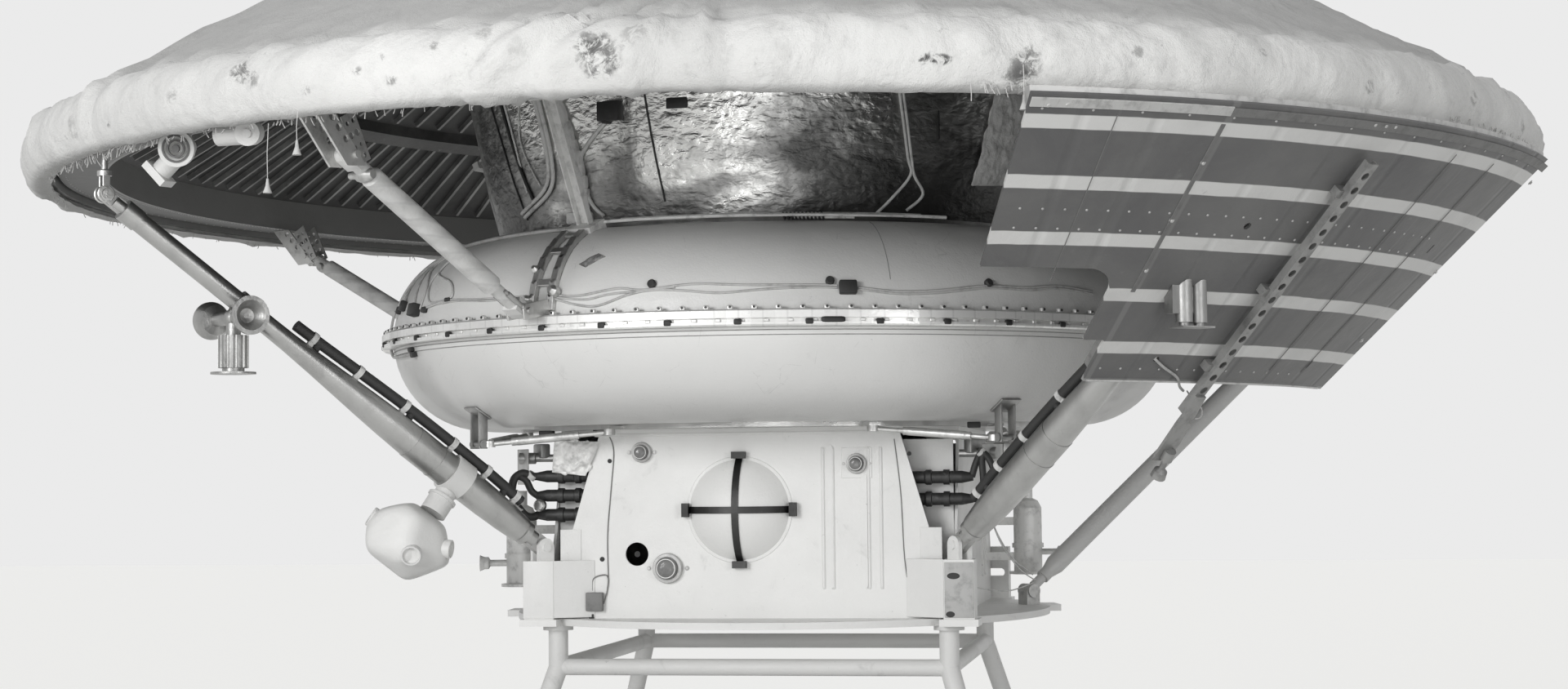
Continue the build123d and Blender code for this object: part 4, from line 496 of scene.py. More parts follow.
def striped_skin(skin):
    """Dark grey panel with five white bands that follow the cone, seams and wear."""
    b = Board("striped_skin")
    x, y, _ = b.axes()
    share = (b.radius() - SKIN_FOOT[0]) * (1.0 / (SKIN_TOP[0] - SKIN_FOOT[0]))
    azimuth = y.math("ARCTAN2", x) * (180.0 / math.pi)
    blot = b.noise(5.0, 6.0, 0.62, warp=0.5)
    fine = b.noise(30.0, 5.0, 0.7)
    wobble = (b.noise(9.0, 2.0) - 0.5) * 0.006
    edge = skin.stripe_width * 0.5
    bands = b.highest([b.line(share + wobble, centre, edge - 0.002, edge + 0.002) for centre in STRIPE_SHARES])
    seams = b.highest([b.line(azimuth, degrees - 360.0, half * 0.5, half) * strength
                       for degrees, half, strength in PANEL_SEAMS])
    base = b.over(b.mix(blot.step(0.3, 0.75), skin.dark[:], grey(0.15)), (fine.step(0.6, 0.78) * 0.35, 0.24),
                  (b.noise(2.4, 4.0, 0.55).step(0.45, 0.75) * 0.4, 0.19), (seams * 0.4, 0.27))
    white = b.mix(blot.step(0.45, 0.75) * 0.6, grey(0.7), grey(0.54))
    colour = b.mix(bands * (1.0 - fine.step(0.68, 0.8) * 0.6), base, white)
    colour = b.over(colour, ((1.0 - share.step(0.004, 0.014)) * 0.6, 0.5))
    dimples = sum(b.line(azimuth, degrees - 360.0, 0.05, 0.55) for degrees in PANEL_DIMPLES)
    normal = b.bumps((dimples * -1.0, 0.0022), (blot, 0.004), (fine, 0.0008))
    return b.finish(colour, fine * 0.15 + 0.42, 0.15, normal)


def cloth_wrap():
    """White cloth tape wound round a tube."""
    b = Board("cloth_wrap")
    turns = (b.axes()[2] * 240.0 + b.noise(20.0) * 3.0).math("SINE")
    blot = b.noise(16.0, 5.0, 0.65)
    colour = b.mix(blot.step(0.4, 0.75) * 0.6, grey(0.78), grey(0.5))
    colour = b.over(colour, (turns.step(0.7, 1.0) * 0.18, 0.35))
    return b.finish(colour, 0.9, 0.0, b.bumps((turns, 0.0008), (b.noise(160.0, 3.0), 0.001)))


def plain(name, level, rough, metal=0.0, grain=120.0, depth=0.0004):
    """A small part's finish: one tone with fine grain and slight wear."""
    b = Board(name)
    blot = b.noise(35.0, 4.0, 0.65)
    tone = b.mix(blot.step(0.45, 0.75), grey(level), tuple(min(1.0, c * 0.6 + 0.02) for c in grey(level)))
    return b.finish(tone, blot * 0.2 + rough, metal, b.bumps((b.noise(grain, 3.0), depth)))
# Dark spots and holes in the cover: azimuth, radius, level, size, darkness
COVER_SPOTS = (
    (245.6, 1.603, 0.974, 0.024, 0.75), (246.6, 1.605, 0.958, 0.018, 0.55), (239.4, 1.604, 0.95, 0.016, 0.4),
    (256.9, 1.606, 0.932, 0.012, 0.6), (254.6, 1.606, 0.95, 0.01, 0.6), (256.2, 1.603, 0.968, 0.009, 0.5),
    (269.6, 1.606, 0.95, 0.04, 0.8), (269.0, 1.606, 0.972, 0.02, 0.6), (270.7, 1.605, 0.938, 0.018, 0.6),
    (271.6, 1.6, 0.985, 0.024, 0.35), (287.9, 1.606, 0.938, 0.01, 0.9), (288.4, 1.606, 0.938, 0.012, 0.95),
    (288.9, 1.606, 0.937, 0.011, 0.9), (289.3, 1.606, 0.937, 0.008, 0.8), (293.8, 1.605, 0.928, 0.03, 0.7),
    (293.4, 1.603, 0.905, 0.03, 0.65), (294.3, 1.603, 0.948, 0.018, 0.45), (318.6, 1.606, 0.94, 0.014, 0.45),
    (331.0, 1.606, 0.955, 0.016, 0.45), (262.5, 1.6, 1.0, 0.018, 0.4), (226.0, 1.606, 0.935, 0.026, 0.35),
    (231.5, 1.606, 0.925, 0.01, 0.6), (250.8, 1.606, 0.928, 0.01, 0.6), (259.6, 1.606, 0.985, 0.012, 0.55),
    (300.8, 1.606, 0.962, 0.012, 0.5), (309.6, 1.604, 0.975, 0.01, 0.5), (342.0, 1.606, 0.935, 0.024, 0.5),
)
# White bands of the striped panel, as shares of its slope from its foot
STRIPE_SHARES = (0.131, 0.328, 0.522, 0.714, 0.912)
# Seams of the striped panel: azimuth, half width in degrees, strength
PANEL_SEAMS = (
    (306.7, 0.35, 1.0), (299.4, 0.12, 0.25), (330.9, 0.15, 0.35),
)
# Pressed ribs that show as shallow lines
PANEL_DIMPLES = (297.2, 302.0, 310.9, 316.2, 322.5, 328.6, 334.7, 340.6)


def deselect():
    bpy.ops.object.select_all(action="DESELECT")


def pick(piece):
    """Makes a piece the only selected one, and the active one."""
    deselect()
    piece.select_set(True)
    bpy.context.view_layer.objects.active = piece
    return piece


def current(name):
    """The object that an operator has just made, named."""
    piece = bpy.context.view_layer.objects.active
    piece.name = name
    piece.data.name = name
    return piece


def set_down(piece):
    """Brings a piece's place into its mesh, so that its object sits at the origin."""
    pick(piece)
    bpy.ops.object.transform_apply(location=True, rotation=True, scale=True)
    return piece


def placed(piece, matrix):
    """Moves a piece's mesh."""
    piece.data.transform(matrix)
    return piece


def modified(piece, kind, **settings):
    """Gives a piece a modifier and applies it."""
    modifier = pick(piece).modifiers.new(kind, kind)
    for key, item in settings.items():
        setattr(modifier, key, item)
    bpy.ops.object.modifier_apply(modifier=modifier.name)
    return piece


def bored(piece, radius, depth, matrix, **settings):
    """Bores a round hole through a piece."""
    deselect()
    bpy.ops.mesh.primitive_cylinder_add(vertices=16, radius=radius, depth=depth)
    cutter = placed(current("cutter"), matrix)
    modified(piece, "BOOLEAN", object=cutter, operation="DIFFERENCE", solver="EXACT", **settings)
    bpy.data.objects.remove(cutter)


def coat(piece, material):
    piece.data.materials.clear()
    piece.data.materials.append(material)


def dress(piece, material, smooth_angle=SHARP):
    """Gives a new piece its material and its body."""
    coat(piece, material)
    pick(piece)
    if smooth_angle:
        bpy.ops.object.shade_smooth_by_angle(angle=math.radians(smooth_angle))
    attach(piece, "root")
    return piece


def repaint(node, material):
    """Gives a CAD node its material."""
    coat(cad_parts[node], material)


def lathe(name, outline, steps=32):
    """Turns an outline of (radius, height) about Z by extruding and spinning it."""
    deselect()
    bpy.ops.mesh.primitive_plane_add(size=0.01, location=(0, 0, 0))
    bpy.ops.object.mode_set(mode="EDIT")
    bpy.ops.mesh.select_all(action="SELECT")
    bpy.ops.mesh.merge(type="CENTER")
    bpy.ops.transform.translate(value=(outline[0][0], 0, outline[0][1]))
    for (r0, z0), (r1, z1) in zip(outline, outline[1:]):
        bpy.ops.mesh.extrude_region_move(TRANSFORM_OT_translate={"value": (r1 - r0, 0, z1 - z0)})
    bpy.ops.mesh.select_all(action="SELECT")
    bpy.ops.mesh.spin(steps=steps, angle=2 * math.pi, center=(0, 0, 0), axis=(0, 0, 1))
    bpy.ops.mesh.select_all(action="SELECT")
    bpy.ops.mesh.remove_doubles(threshold=0.00002)
    bpy.ops.mesh.normals_make_consistent(inside=False)
    bpy.ops.object.mode_set(mode="OBJECT")
    return current(name)


def seat(point, outward):
    """Matrix that stands a piece on a point, its +Z along the outward way."""
    return Matrix.Translation(point) @ Vector(outward).to_track_quat("Z", "Y").to_matrix().to_4x4()


def framed(point, outward, upward=UP):
    """Matrix with +Z outwards and +Y as near as can be to a way up."""
    z = Vector(outward).normalized()
    x = Vector(upward).cross(z).normalized()
    return Matrix.Translation(point) @ Matrix((x, z.cross(x), z)).transposed().to_4x4()


def turned(name, start, end, stations, steps=24):
    """Turned piece from (distance, radius) stations on the way from start to end."""
    outline = [(radius, distance) for distance, radius in stations]
    outline = [(0.0, outline[0][1]), *outline, (0.0, outline[-1][1])]
    return placed(lathe(name, outline, steps), seat(start, end - start))


def headed_pin(middle, side, half, cap, head, shank):
    """Pin across two cheeks with a head at both ends."""
    return turned("pin", middle - side * half, middle + side * half, (
        (0.0, head), (cap, head), (cap, shank),
        (2 * half - cap, shank), (2 * half - cap, head), (2 * half, head)), 16)


def block(name, size, matrix, edge=0.0008, segments=2):
    """Rectangular piece with bevelled edges."""
    deselect()
    bpy.ops.mesh.primitive_cube_add(size=1.0, location=(0, 0, 0), scale=size)
    piece = set_down(current(name))
    if edge:
        modified(piece, "BEVEL", width=edge, segments=segments)
    return placed(piece, matrix)


def pipe(name, points, radius, resolution=2):
    """Round cable or wire along points."""
    deselect()
    bpy.ops.curve.primitive_nurbs_path_add(location=(0, 0, 0))
    curve = bpy.context.view_layer.objects.active.data
    curve.splines.clear()
    spline = curve.splines.new("POLY")
    spline.points.add(len(points) - 1)
    for item, point in zip(spline.points, points):
        item.co = (*point, 1.0)
    curve.dimensions = "3D"
    curve.bevel_depth = radius
    curve.bevel_resolution = resolution
    curve.use_fill_caps = True
    bpy.ops.object.convert(target="MESH")
    return current(name)


def joined(name, pieces):
    """Several pieces as one mesh."""
    deselect()
    for piece in pieces:
        piece.select_set(True)
    bpy.context.view_layer.objects.active = pieces[0]
    if len(pieces) > 1:
        bpy.ops.object.join()
    return current(name)


def copies(name, model, matrices):
    """One mesh of many copies of a model, which is then removed."""
    source = model.data
    count = len(source.vertices)
    points = np.zeros(count * 3, np.float32)
    source.vertices.foreach_get("co", points)
    points = points.reshape(-1, 3)
    faces = [list(polygon.vertices) for polygon in source.polygons]
    all_points, all_faces = [], []
    for index, matrix in enumerate(matrices):
        all_points.append(points @ np.array(matrix.to_3x3()).T + np.array(matrix.translation))
        all_faces += [[corner + index * count for corner in face] for face in faces]
    mesh = bpy.data.meshes.new(name)
    mesh.from_pydata(np.concatenate(all_points).tolist(), [], all_faces)
    mesh.update()
    bpy.data.objects.remove(model)
    piece = bpy.data.objects.new(name, mesh)
    bpy.context.scene.collection.objects.link(piece)
    return piece


def dome(name, radius, rise, steps):
    """Rivet head that stands on its +Z side."""
    outline = [(0.0, rise), (radius * 0.6, rise * 0.82), (radius * 0.92, rise * 0.4), (radius, -0.0004)]
    return lathe(name, outline, steps)


def bolt(name, radius, height):
    """Six-sided bolt head on a round washer."""
    head = lathe(name, [(0.0, height), (radius * 0.85, height), (radius, height * 0.82),
                        (radius, height * 0.25), (0.0, height * 0.25)], 6)
    washer = lathe("washer", [(0.0, height * 0.3), (radius * 1.5, height * 0.25),
                              (radius * 1.5, -0.0004), (0.0, -0.0004)], 12)
    return joined(name, [head, washer])


def cables(name, table, place, material):
    """Fixed cables on a surface from (radius, lift, places) rows, as one piece."""
    runs = [pipe("run", [place(*spot_at, lift) for spot_at in eased(places)], radius)
            for radius, lift, places in table]
    return dress(joined(name, runs), material, ROUNDED)


def wires(name, table, steps, material, resolution=2):
    """Cables in the air from (radius, (x, y, level) places) rows, as one piece."""
    runs = [pipe("run", [spot(*place) for place in eased(places, steps)], radius, resolution)
            for radius, places in table]
    return dress(joined(name, runs), material, ROUNDED)


def patch(name, corners, thick, bulge, rough, divisions):
    """Closed pad between four surface corners, crumpled and thick in its middle."""
    deselect()
    bpy.ops.mesh.primitive_grid_add(x_subdivisions=divisions, y_subdivisions=divisions, size=1.0)
    piece = current(name)
    low_left, low_right, high_right, high_left = corners
    normal = (low_right - low_left).cross(high_left - low_left).normalized()
    for vertex in piece.data.vertices:
        u, v = vertex.co.x + 0.5, vertex.co.y + 0.5
        point = low_left.lerp(low_right, u).lerp(high_left.lerp(high_right, u), v)
        crown = max(0.0, 16.0 * u * (1 - u) * v * (1 - v)) ** 0.5
        crumple = noise.noise(point * 45.0) + 0.6 * noise.noise(point * 110.0)
        vertex.co = point + normal * (bulge * crown + rough * crumple * min(1.0, 3.0 * crown))
    modified(piece, "SOLIDIFY", thickness=thick, offset=-1.0)
    bpy.ops.object.mode_set(mode="EDIT")
    bpy.ops.mesh.select_all(action="SELECT")
    bpy.ops.mesh.normals_make_consistent(inside=False)
    bpy.ops.object.mode_set(mode="OBJECT")
    return piece


def number(label, about, value, unit="NONE"):
    return FloatProperty(name=label, description=about, default=value, unit=unit)


def tint(label, about, value):
    return FloatVectorProperty(name=label, description=about, subtype="COLOR", default=value, min=0.0, max=1.0)


class CoverSettings(PropertyGroup):
    """Cloth cover over the shell."""
    columns: IntProperty(name="Columns", description="Divisions round the cover", default=600, min=64)
    fold_depth: number("Fold depth", "Depth of the large folds", 0.011, "LENGTH")
    gather_depth: number("Gather depth", "Depth of the small gathers at the rim", 0.0035, "LENGTH")
    crease_depth: number("Crease depth", "Groove between the rim roll and the slope", 0.007, "LENGTH")
    crumple: number("Crumple", "Strength of the fine crumple", 1.0)


class FoilSettings(PropertyGroup):
    """Foil on the capsule."""
    crinkle: number("Crinkle", "Strength of the crinkles", 1.0)
    # Colour where the foil's painted highlight falls
    bright: tint("Foil colour", "Colour of clean foil", (0.6, 0.6, 0.59))


class PaintSettings(PropertyGroup):
    """White paint."""
    lumps: number("Lumps", "Unevenness of the painted metal", 1.0)


class SkinSettings(PropertyGroup):
    """Striped panel."""
    stripe_width: number("Band width", "Width of a white band as a share of the slope", 0.046)
    dark: tint("Panel colour", "Colour between the bands", (0.105, 0.105, 0.107))


class StageSettings(PropertyGroup):
    """Floor, lamps and camera."""
    key_power: number("Key light", "Power of the main soft light", 155.0, "POWER")
    fill_power: number("Fill light", "Power of the fill light", 55.0, "POWER")
    sky: number("Sky", "Strength of the even surround", 0.38)
    floor_glow: number("Floor lift", "What the camera adds to the floor's own tone", 0.588)
    lens: number("Lens", "Focal length on a 36 mm wide sensor", 56.1)


def cover_profile():
    """(radius, level, weight, band) points from the nose over the rim to the inside.

    The weight says how far folds move a point; the band marks the rolled rim.
    """
    nose = NOSE_R + COVER_OUT
    centre = inner_level(0.0) + (COVER_OUT - nose) / SHELL_COS
    rows = []
    for step in range(9):
        angle = SHELL_ANGLE * step / 8
        rows.append((nose * math.sin(angle), centre + nose * math.cos(angle), 0.5, 0.0))
    touch = rows[-1][0]
    for step in range(1, 37):
        radius = touch + (1.525 - touch) * (step / 36) ** 0.9
        level = inner_level(radius) + COVER_OUT / SHELL_COS
        rows.append((radius, level, 1.0, smooth(1.4, 1.52, radius)))
    rows += [
        (1.54, 1.0245, 1.0, 1.0), (1.551, 1.02, 1.0, 1.0), (1.562, 1.0165, 1.0, 1.0),
        (1.574, 1.011, 1.0, 1.0), (1.584, 1.003, 1.0, 1.0), (1.593, 0.993, 1.0, 1.0),
        (1.6, 0.98, 1.0, 1.0), (1.604, 0.966, 1.0, 1.0), (1.606, 0.951, 1.0, 1.0),
        (1.605, 0.936, 1.0, 1.0), (1.601, 0.921, 0.9, 1.0), (1.595, 0.908, 0.8, 1.0),
        (1.587, 0.8985, 0.7, 1.0), (1.577, 0.893, 0.6, 1.0), (1.566, 0.892, 0.5, 1.0),
        (1.556, 0.893, 0.5, 1.0), (1.548, 0.8945, 0.6, 1.0), (1.544, 0.8975, 0.5, 1.0),
        (1.549, 0.9005, 0.3, 1.0), (1.557, 0.904, 0.1, 1.0), (1.5615, 0.912, 0.0, 0.0),
        (1.5612, 0.94, 0.0, 0.0), (1.561, 0.969, 0.0, 0.0),
    ]
    for step in range(1, 9):
        radius = 1.561 + (0.38 - 1.561) * step / 8
        rows.append((radius, inner_level(radius) + COVER_IN / SHELL_COS, 0.0, 0.0))
    nose = NOSE_R + COVER_IN
    centre = inner_level(0.0) + (COVER_IN - nose) / SHELL_COS
    for step in range(5, -1, -1):
        angle = SHELL_ANGLE * step / 6
        rows.append((nose * math.sin(angle), centre + nose * math.cos(angle), 0.0, 0.0))
    return rows


# Long folds of the cover: azimuth at the rim's crease, width in degrees, lean per 0.1 m down, height
COVER_FOLDS = (
    (267.5, 0.68, -3.7, 0.022), (266.4, 0.59, -3.4, -0.011), (268.8, 0.68, -3.9, 0.019),
    (270.0, 0.59, -3.5, -0.012), (271.2, 0.68, -3.0, 0.016), (264.7, 0.68, -3.2, 0.014),
    (262.6, 0.59, -3.0, 0.008), (273.2, 0.68, -1.4, 0.014), (275.3, 0.42, 0.3, 0.015),
    (276.2, 0.59, 0.5, -0.008), (279.2, 0.9, 2.4, 0.007), (282.8, 0.8, 3.0, 0.006), (288.0, 1.0, 2.8, 0.007),
    (294.0, 0.8, 1.4, 0.011), (298.4, 0.8, 2.6, 0.007), (302.0, 0.8, 2.2, 0.009), (306.4, 1.0, 3.0, 0.007),
    (311.8, 1.0, 2.6, 0.007), (317.5, 1.0, 2.8, 0.007), (324.0, 1.0, 1.8, 0.009), (331.0, 0.9, 1.4, 0.012),
    (337.5, 0.9, 1.0, 0.012), (227.4, 0.56, 0.3, 0.018), (228.3, 0.7, 0.3, -0.011), (232.8, 0.9, -2.4, 0.007),
    (237.4, 0.9, -3.0, 0.009), (243.0, 1.0, -3.2, 0.007), (248.4, 0.9, -3.4, 0.009),
    (253.4, 1.0, -3.4, 0.007), (258.2, 0.9, -3.6, 0.009), (352.0, 1.0, 2.6, 0.011), (8.0, 1.2, -2.5, 0.009),
    (24.0, 1.0, 1.8, 0.013), (41.0, 1.2, 3.0, 0.009), (60.0, 0.9, 1.0, 0.019), (61.8, 0.8, 0.4, -0.013),
    (63.4, 0.9, -0.6, 0.019), (82.0, 1.0, -3.0, 0.009), (101.0, 1.2, 2.8, 0.011), (120.0, 1.0, 1.4, 0.013),
    (138.0, 1.0, -2.8, 0.009), (155.0, 1.0, 2.2, 0.012), (170.0, 1.0, -1.2, 0.013), (186.0, 1.2, 2.6, 0.009),
    (203.0, 1.0, -2.6, 0.011), (214.0, 1.0, 1.2, 0.011),
)
# Azimuths between which the torn length of the rim begins and ends
TORN_FROM = (322.0, 338.0)
TORN_TO = (352.0, 358.0)


def cover_relief(azimuth, radius, level, band, settings):
    """Outward move of one point of the cover's outer side."""
    angle = math.radians(azimuth)
    round_x = math.cos(angle) * 1.6
    round_y = math.sin(angle) * 1.6
    here = Vector((round_x, round_y, level))
    broad = noise.noise(here * 2.1) * 0.9 + noise.noise(here * 4.7 + Vector((3, 1, 2))) * 0.5
    on_slope = Vector((radius * math.cos(angle), radius * math.sin(angle), level))
    ridge = 1.0 - abs(noise.noise(on_slope * 3.2 + Vector((9, 4, 1)))) * 2.6
    move = settings.fold_depth * (0.55 * broad + 0.45 * max(ridge, 0.0) ** 2 * (1.0 - 0.6 * band))
    gather = noise.noise(Vector((round_x * 17.0, round_y * 17.0, level * 5.0)))
    gather += 0.6 * noise.noise(Vector((round_x * 38.0, round_y * 38.0, level * 11.0 + 5.0)))
    torn = float(smooth(*TORN_FROM, azimuth)) * float(1.0 - smooth(*TORN_TO, azimuth))
    move += settings.gather_depth * gather * (0.25 + 0.75 * band) * (1.0 + 1.2 * torn)
    wander = 0.01 * noise.noise(Vector((round_x * 3.0, round_y * 3.0, 8.0)))
    gap = (radius - CREASE_R - wander) / 0.014
    move -= settings.crease_depth * math.exp(-gap * gap) * band
    down = (radius - 1.55) / 0.1 + max(0.0, 1.02 - level) * band / 0.1
    for centre, width, lean, depth in COVER_FOLDS:
        off = azimuth - centre - lean * down
        if abs(off) <= 4.0 * width:
            move += depth * math.exp(-1.4 * abs(off / width)) * float(smooth(1.15, 1.5, radius))
    return move


# Fringe of the hem: first and last azimuth, radius, level, threads, longest reach
FRINGES = (
    (229.0, 262.0, 1.556, 0.892, 60, 0.012), (218.0, 232.0, 1.56, 0.892, 60, 0.02),
    (310.0, 345.0, 1.56, 0.892, 90, 0.014), (291.0, 296.0, 1.596, 0.906, 14, 0.026),
    (328.0, 349.0, 1.602, 0.915, 60, 0.018), (0.0, 222.0, 1.556, 0.892, 160, 0.012),
)
# Single hanging threads: azimuth, radius, level of the root and of the tip
TASSELS = (
    (250.2, 1.606, 0.896, 0.842), (246.5, 1.566, 0.888, 0.79), (290.6, 1.604, 0.9, 0.872),
    (298.0, 1.6, 0.902, 0.894), (298.9, 1.6, 0.902, 0.892), (299.8, 1.6, 0.902, 0.893),
    (300.7, 1.6, 0.902, 0.891), (301.6, 1.6, 0.902, 0.889), (293.7, 1.604, 0.938, 0.88),
)


class LANDER_OT_cover(Operator):
    """Cloth cover with its rolled rim, creases, folds and torn spots"""
    bl_idname = "lander.cover"
    bl_label = "Cloth cover"

    def execute(self, context):
        settings = context.scene.lander_cover
        outline = np.array(cover_profile())
        cover = lathe("cloth_cover", [(max(r, 0.0), PLATE_TOP + z) for r, z, _, _ in outline.tolist()],
                      settings.columns)
        mesh = cover.data
        count = len(mesh.vertices)
        points = np.zeros(count * 3)
        mesh.vertices.foreach_get("co", points)
        points = points.reshape(-1, 3)
        radii = np.hypot(points[:, 0], points[:, 1])
        azimuths = np.degrees(np.arctan2(points[:, 1], points[:, 0])) % 360.0
        nearest = np.argmin((radii[:, None] - outline[None, :, 0]) ** 2
                            + (points[:, 2, None] - PLATE_TOP - outline[None, :, 1]) ** 2, axis=1)
        tangent = np.gradient(outline[:, :2], axis=0)
        tangent /= np.linalg.norm(tangent, axis=1)[:, None]
        for index in range(count):
            row = nearest[index]
            weight, band = outline[row, 2], outline[row, 3]
            if weight <= 0.0 or radii[index] < 1e-4:
                continue
            azimuth = azimuths[index]
            level = points[index, 2] - PLATE_TOP
            move = cover_relief(azimuth, radii[index], level, band, settings) * weight
            out_r, out_z = -tangent[row, 1], tangent[row, 0]
            angle = math.radians(azimuth)
            step_r = radii[index] + move * out_r
            ragged = 0.0
            if level < HEM_TOP and radii[index] < HEM_OUT:
                droop = noise.noise(Vector((math.cos(angle) * 9.0, math.sin(angle) * 9.0, 2.0)))
                ragged = 0.005 * droop * weight
                fray = noise.noise(Vector((math.cos(angle) * 60.0, math.sin(angle) * 60.0, 4.0)))
                step_r += 0.006 * fray * (1.0 if radii[index] < HEM_EDGE else 0.2)
            points[index] = (step_r * math.cos(angle), step_r * math.sin(angle),
                             points[index, 2] + move * out_z + ragged)
        mesh.vertices.foreach_set("co", points.ravel())
        mesh.update()
        dress(cover, cover_cloth(settings), SOFT)
        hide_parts("aeroshell_cover")
        return {"FINISHED"}


class LANDER_OT_cover_threads(Operator):
    """Loose threads and fringe along the cover's torn hem"""
    bl_idname = "lander.cover_threads"
    bl_label = "Threads of the cover"

    def execute(self, context):
        cloth = plain("cover_thread", 0.62, 0.9, 0.0, 300.0)
        draw = random.Random(SEED)
        strands = []
        for start, end, radius, level, count, reach in FRINGES:
            for _ in range(count):
                azimuth = draw.uniform(start, end)
                root = at(radius + draw.uniform(-0.01, 0.006), azimuth, level + draw.uniform(-0.001, 0.003))
                drop = reach * draw.uniform(0.3, 1.0)
                lean = Vector((draw.uniform(-0.6, 0.6), draw.uniform(-0.6, 0.6), 0.0)) * drop
                strands.append((root, root + lean * 0.5 - Vector((0, 0, drop * 0.6)),
                                root + lean - Vector((0, 0, drop))))
        for azimuth, radius, high, low in TASSELS:
            root = at(radius, azimuth, high)
            tip = at(radius + 0.002, azimuth, low)
            strands.append((root, root.lerp(tip, 0.5) + flat_way(azimuth) * 0.002, tip))
        pieces = [pipe("strand", points, 0.0009, 0) for points in strands]
        dress(joined("cover_threads", pieces), cloth, ROUNDED)
        knots = []
        for azimuth, radius, high, low in TASSELS:
            if high - low < 0.03:
                continue
            knot = lathe("knot", [(0.0, 0.006), (0.002, 0.004), (0.0035, -0.008), (0.008, -0.02),
                                  (0.0, -0.017)], 10)
            knots.append(placed(knot, Matrix.Translation(at(radius + 0.002, azimuth, low))))
        dress(joined("cover_tassels", knots), cloth, ROUNDED)
        return {"FINISHED"}


class LANDER_OT_shell_inside(Operator):
    """Dark structure inside the shell, with its rivet rows"""
    bl_idname = "lander.shell_inside"
    bl_label = "Inside of the shell"

    def execute(self, context):
        dark = dark_alloy("dark_structure", 0.035, 0.5, 0.2)
        repaint("aeroshell", dark)
        repaint("aeroshell_nose", dark)
        repaint("shell_mid_ring", dark_alloy("mid_ring", 0.06, 0.45, 0.3))
        repaint("shell_stringers", dark_alloy("stringer_alloy", 0.16, 0.4, 0.5))
        repaint("shell_outer_ring", ring_structure())
        spots = []
        for radius, pitch in ((1.452, 0.012), (1.52, 0.03)):
            total = int(2 * math.pi * radius / pitch)
            spots += [seat(at(radius, 360.0 * index / total, 0.92), (0, 0, -1)) for index in range(total)]
        heads = copies("ring_rivets", dome("rivet", 0.0022, 0.0014, 6), spots)
        dress(heads, plain("rivet_alloy", 0.34, 0.35, 0.7), ROUNDED)
        return {"FINISHED"}


class LANDER_OT_capsule(Operator):
    """Foil covered capsule"""
    bl_idname = "lander.capsule"
    bl_label = "Capsule"

    def execute(self, context):
        foil = foil_skin(context.scene.lander_foil)
        repaint("capsule_cover", foil)
        repaint("capsule_seat", drawn_tube("seat_alloy", 0.35, 0.4))
        repaint("motor_case", dark_alloy("motor_steel", 0.1))
        return {"FINISHED"}


# Cables on the capsule: radius, lift, (azimuth, level) places
CAPSULE_LIGHT = (
    (0.004, 0.003, ((248.6, 0.997), (241.5, 0.926), (242.2, 0.846), (244.9, 0.812))),
    (0.0022, 0.002, ((222.0, 1.079), (223.4, 0.98), (224.4, 0.878))),
    (0.0014, 0.002, ((227.9, 1.074), (225.5, 0.978), (229.4, 0.886))),
    (0.0045, 0.004, ((232.3, 1.067), (233.3, 0.935), (230.7, 0.878), (220.8, 0.839))),
    (0.0045, 0.004, ((233.3, 1.067), (234.4, 0.935), (232.0, 0.872), (221.6, 0.83))),
    (0.0032, 0.003, ((300.2, 1.045), (302.7, 0.918), (303.6, 0.879), (300.1, 0.83), (297.5, 0.802))),
    (0.0032, 0.003, ((300.9, 1.045), (303.4, 0.918), (304.4, 0.879), (306.6, 0.843), (303.6, 0.811))),
)
CAPSULE_DARK = (
    (0.0034, 0.003, ((220.8, 1.081), (223.0, 0.96), (226.1, 0.861))),
    (0.0018, 0.001, ((256.3, 1.065), (257.0, 0.96), (258.3, 0.832))),
    (0.0018, 0.001, ((216.4, 1.068), (218.9, 0.95), (221.8, 0.824))),
)
# Middle of the duct: azimuth, level
DUCT_WAY = ((237.5, 1.06), (240.9, 0.894), (239.5, 0.806))
# Foot and collar of the duct: azimuth, level, lift, size
DUCT_BLOCKS = ((239.5, 0.812, 0.01, (0.056, 0.024, 0.026)), (240.4, 0.93, 0.006, (0.04, 0.03, 0.015)))
# Corners of the felt strip: azimuth, level
CAPSULE_FELT = ((317.2, 0.866), (326.2, 0.873), (327.9, 1.058), (320.0, 1.058))
# Dark boxes on the capsule: azimuth, level, width, height, depth
CAPSULE_BOXES = (
    (249.8, 1.013, 0.05, 0.038, 0.022), (262.2, 1.02, 0.044, 0.022, 0.004),
    (248.6, 0.998, 0.012, 0.016, 0.016), (308.2, 0.99, 0.006, 0.08, 0.004),
)


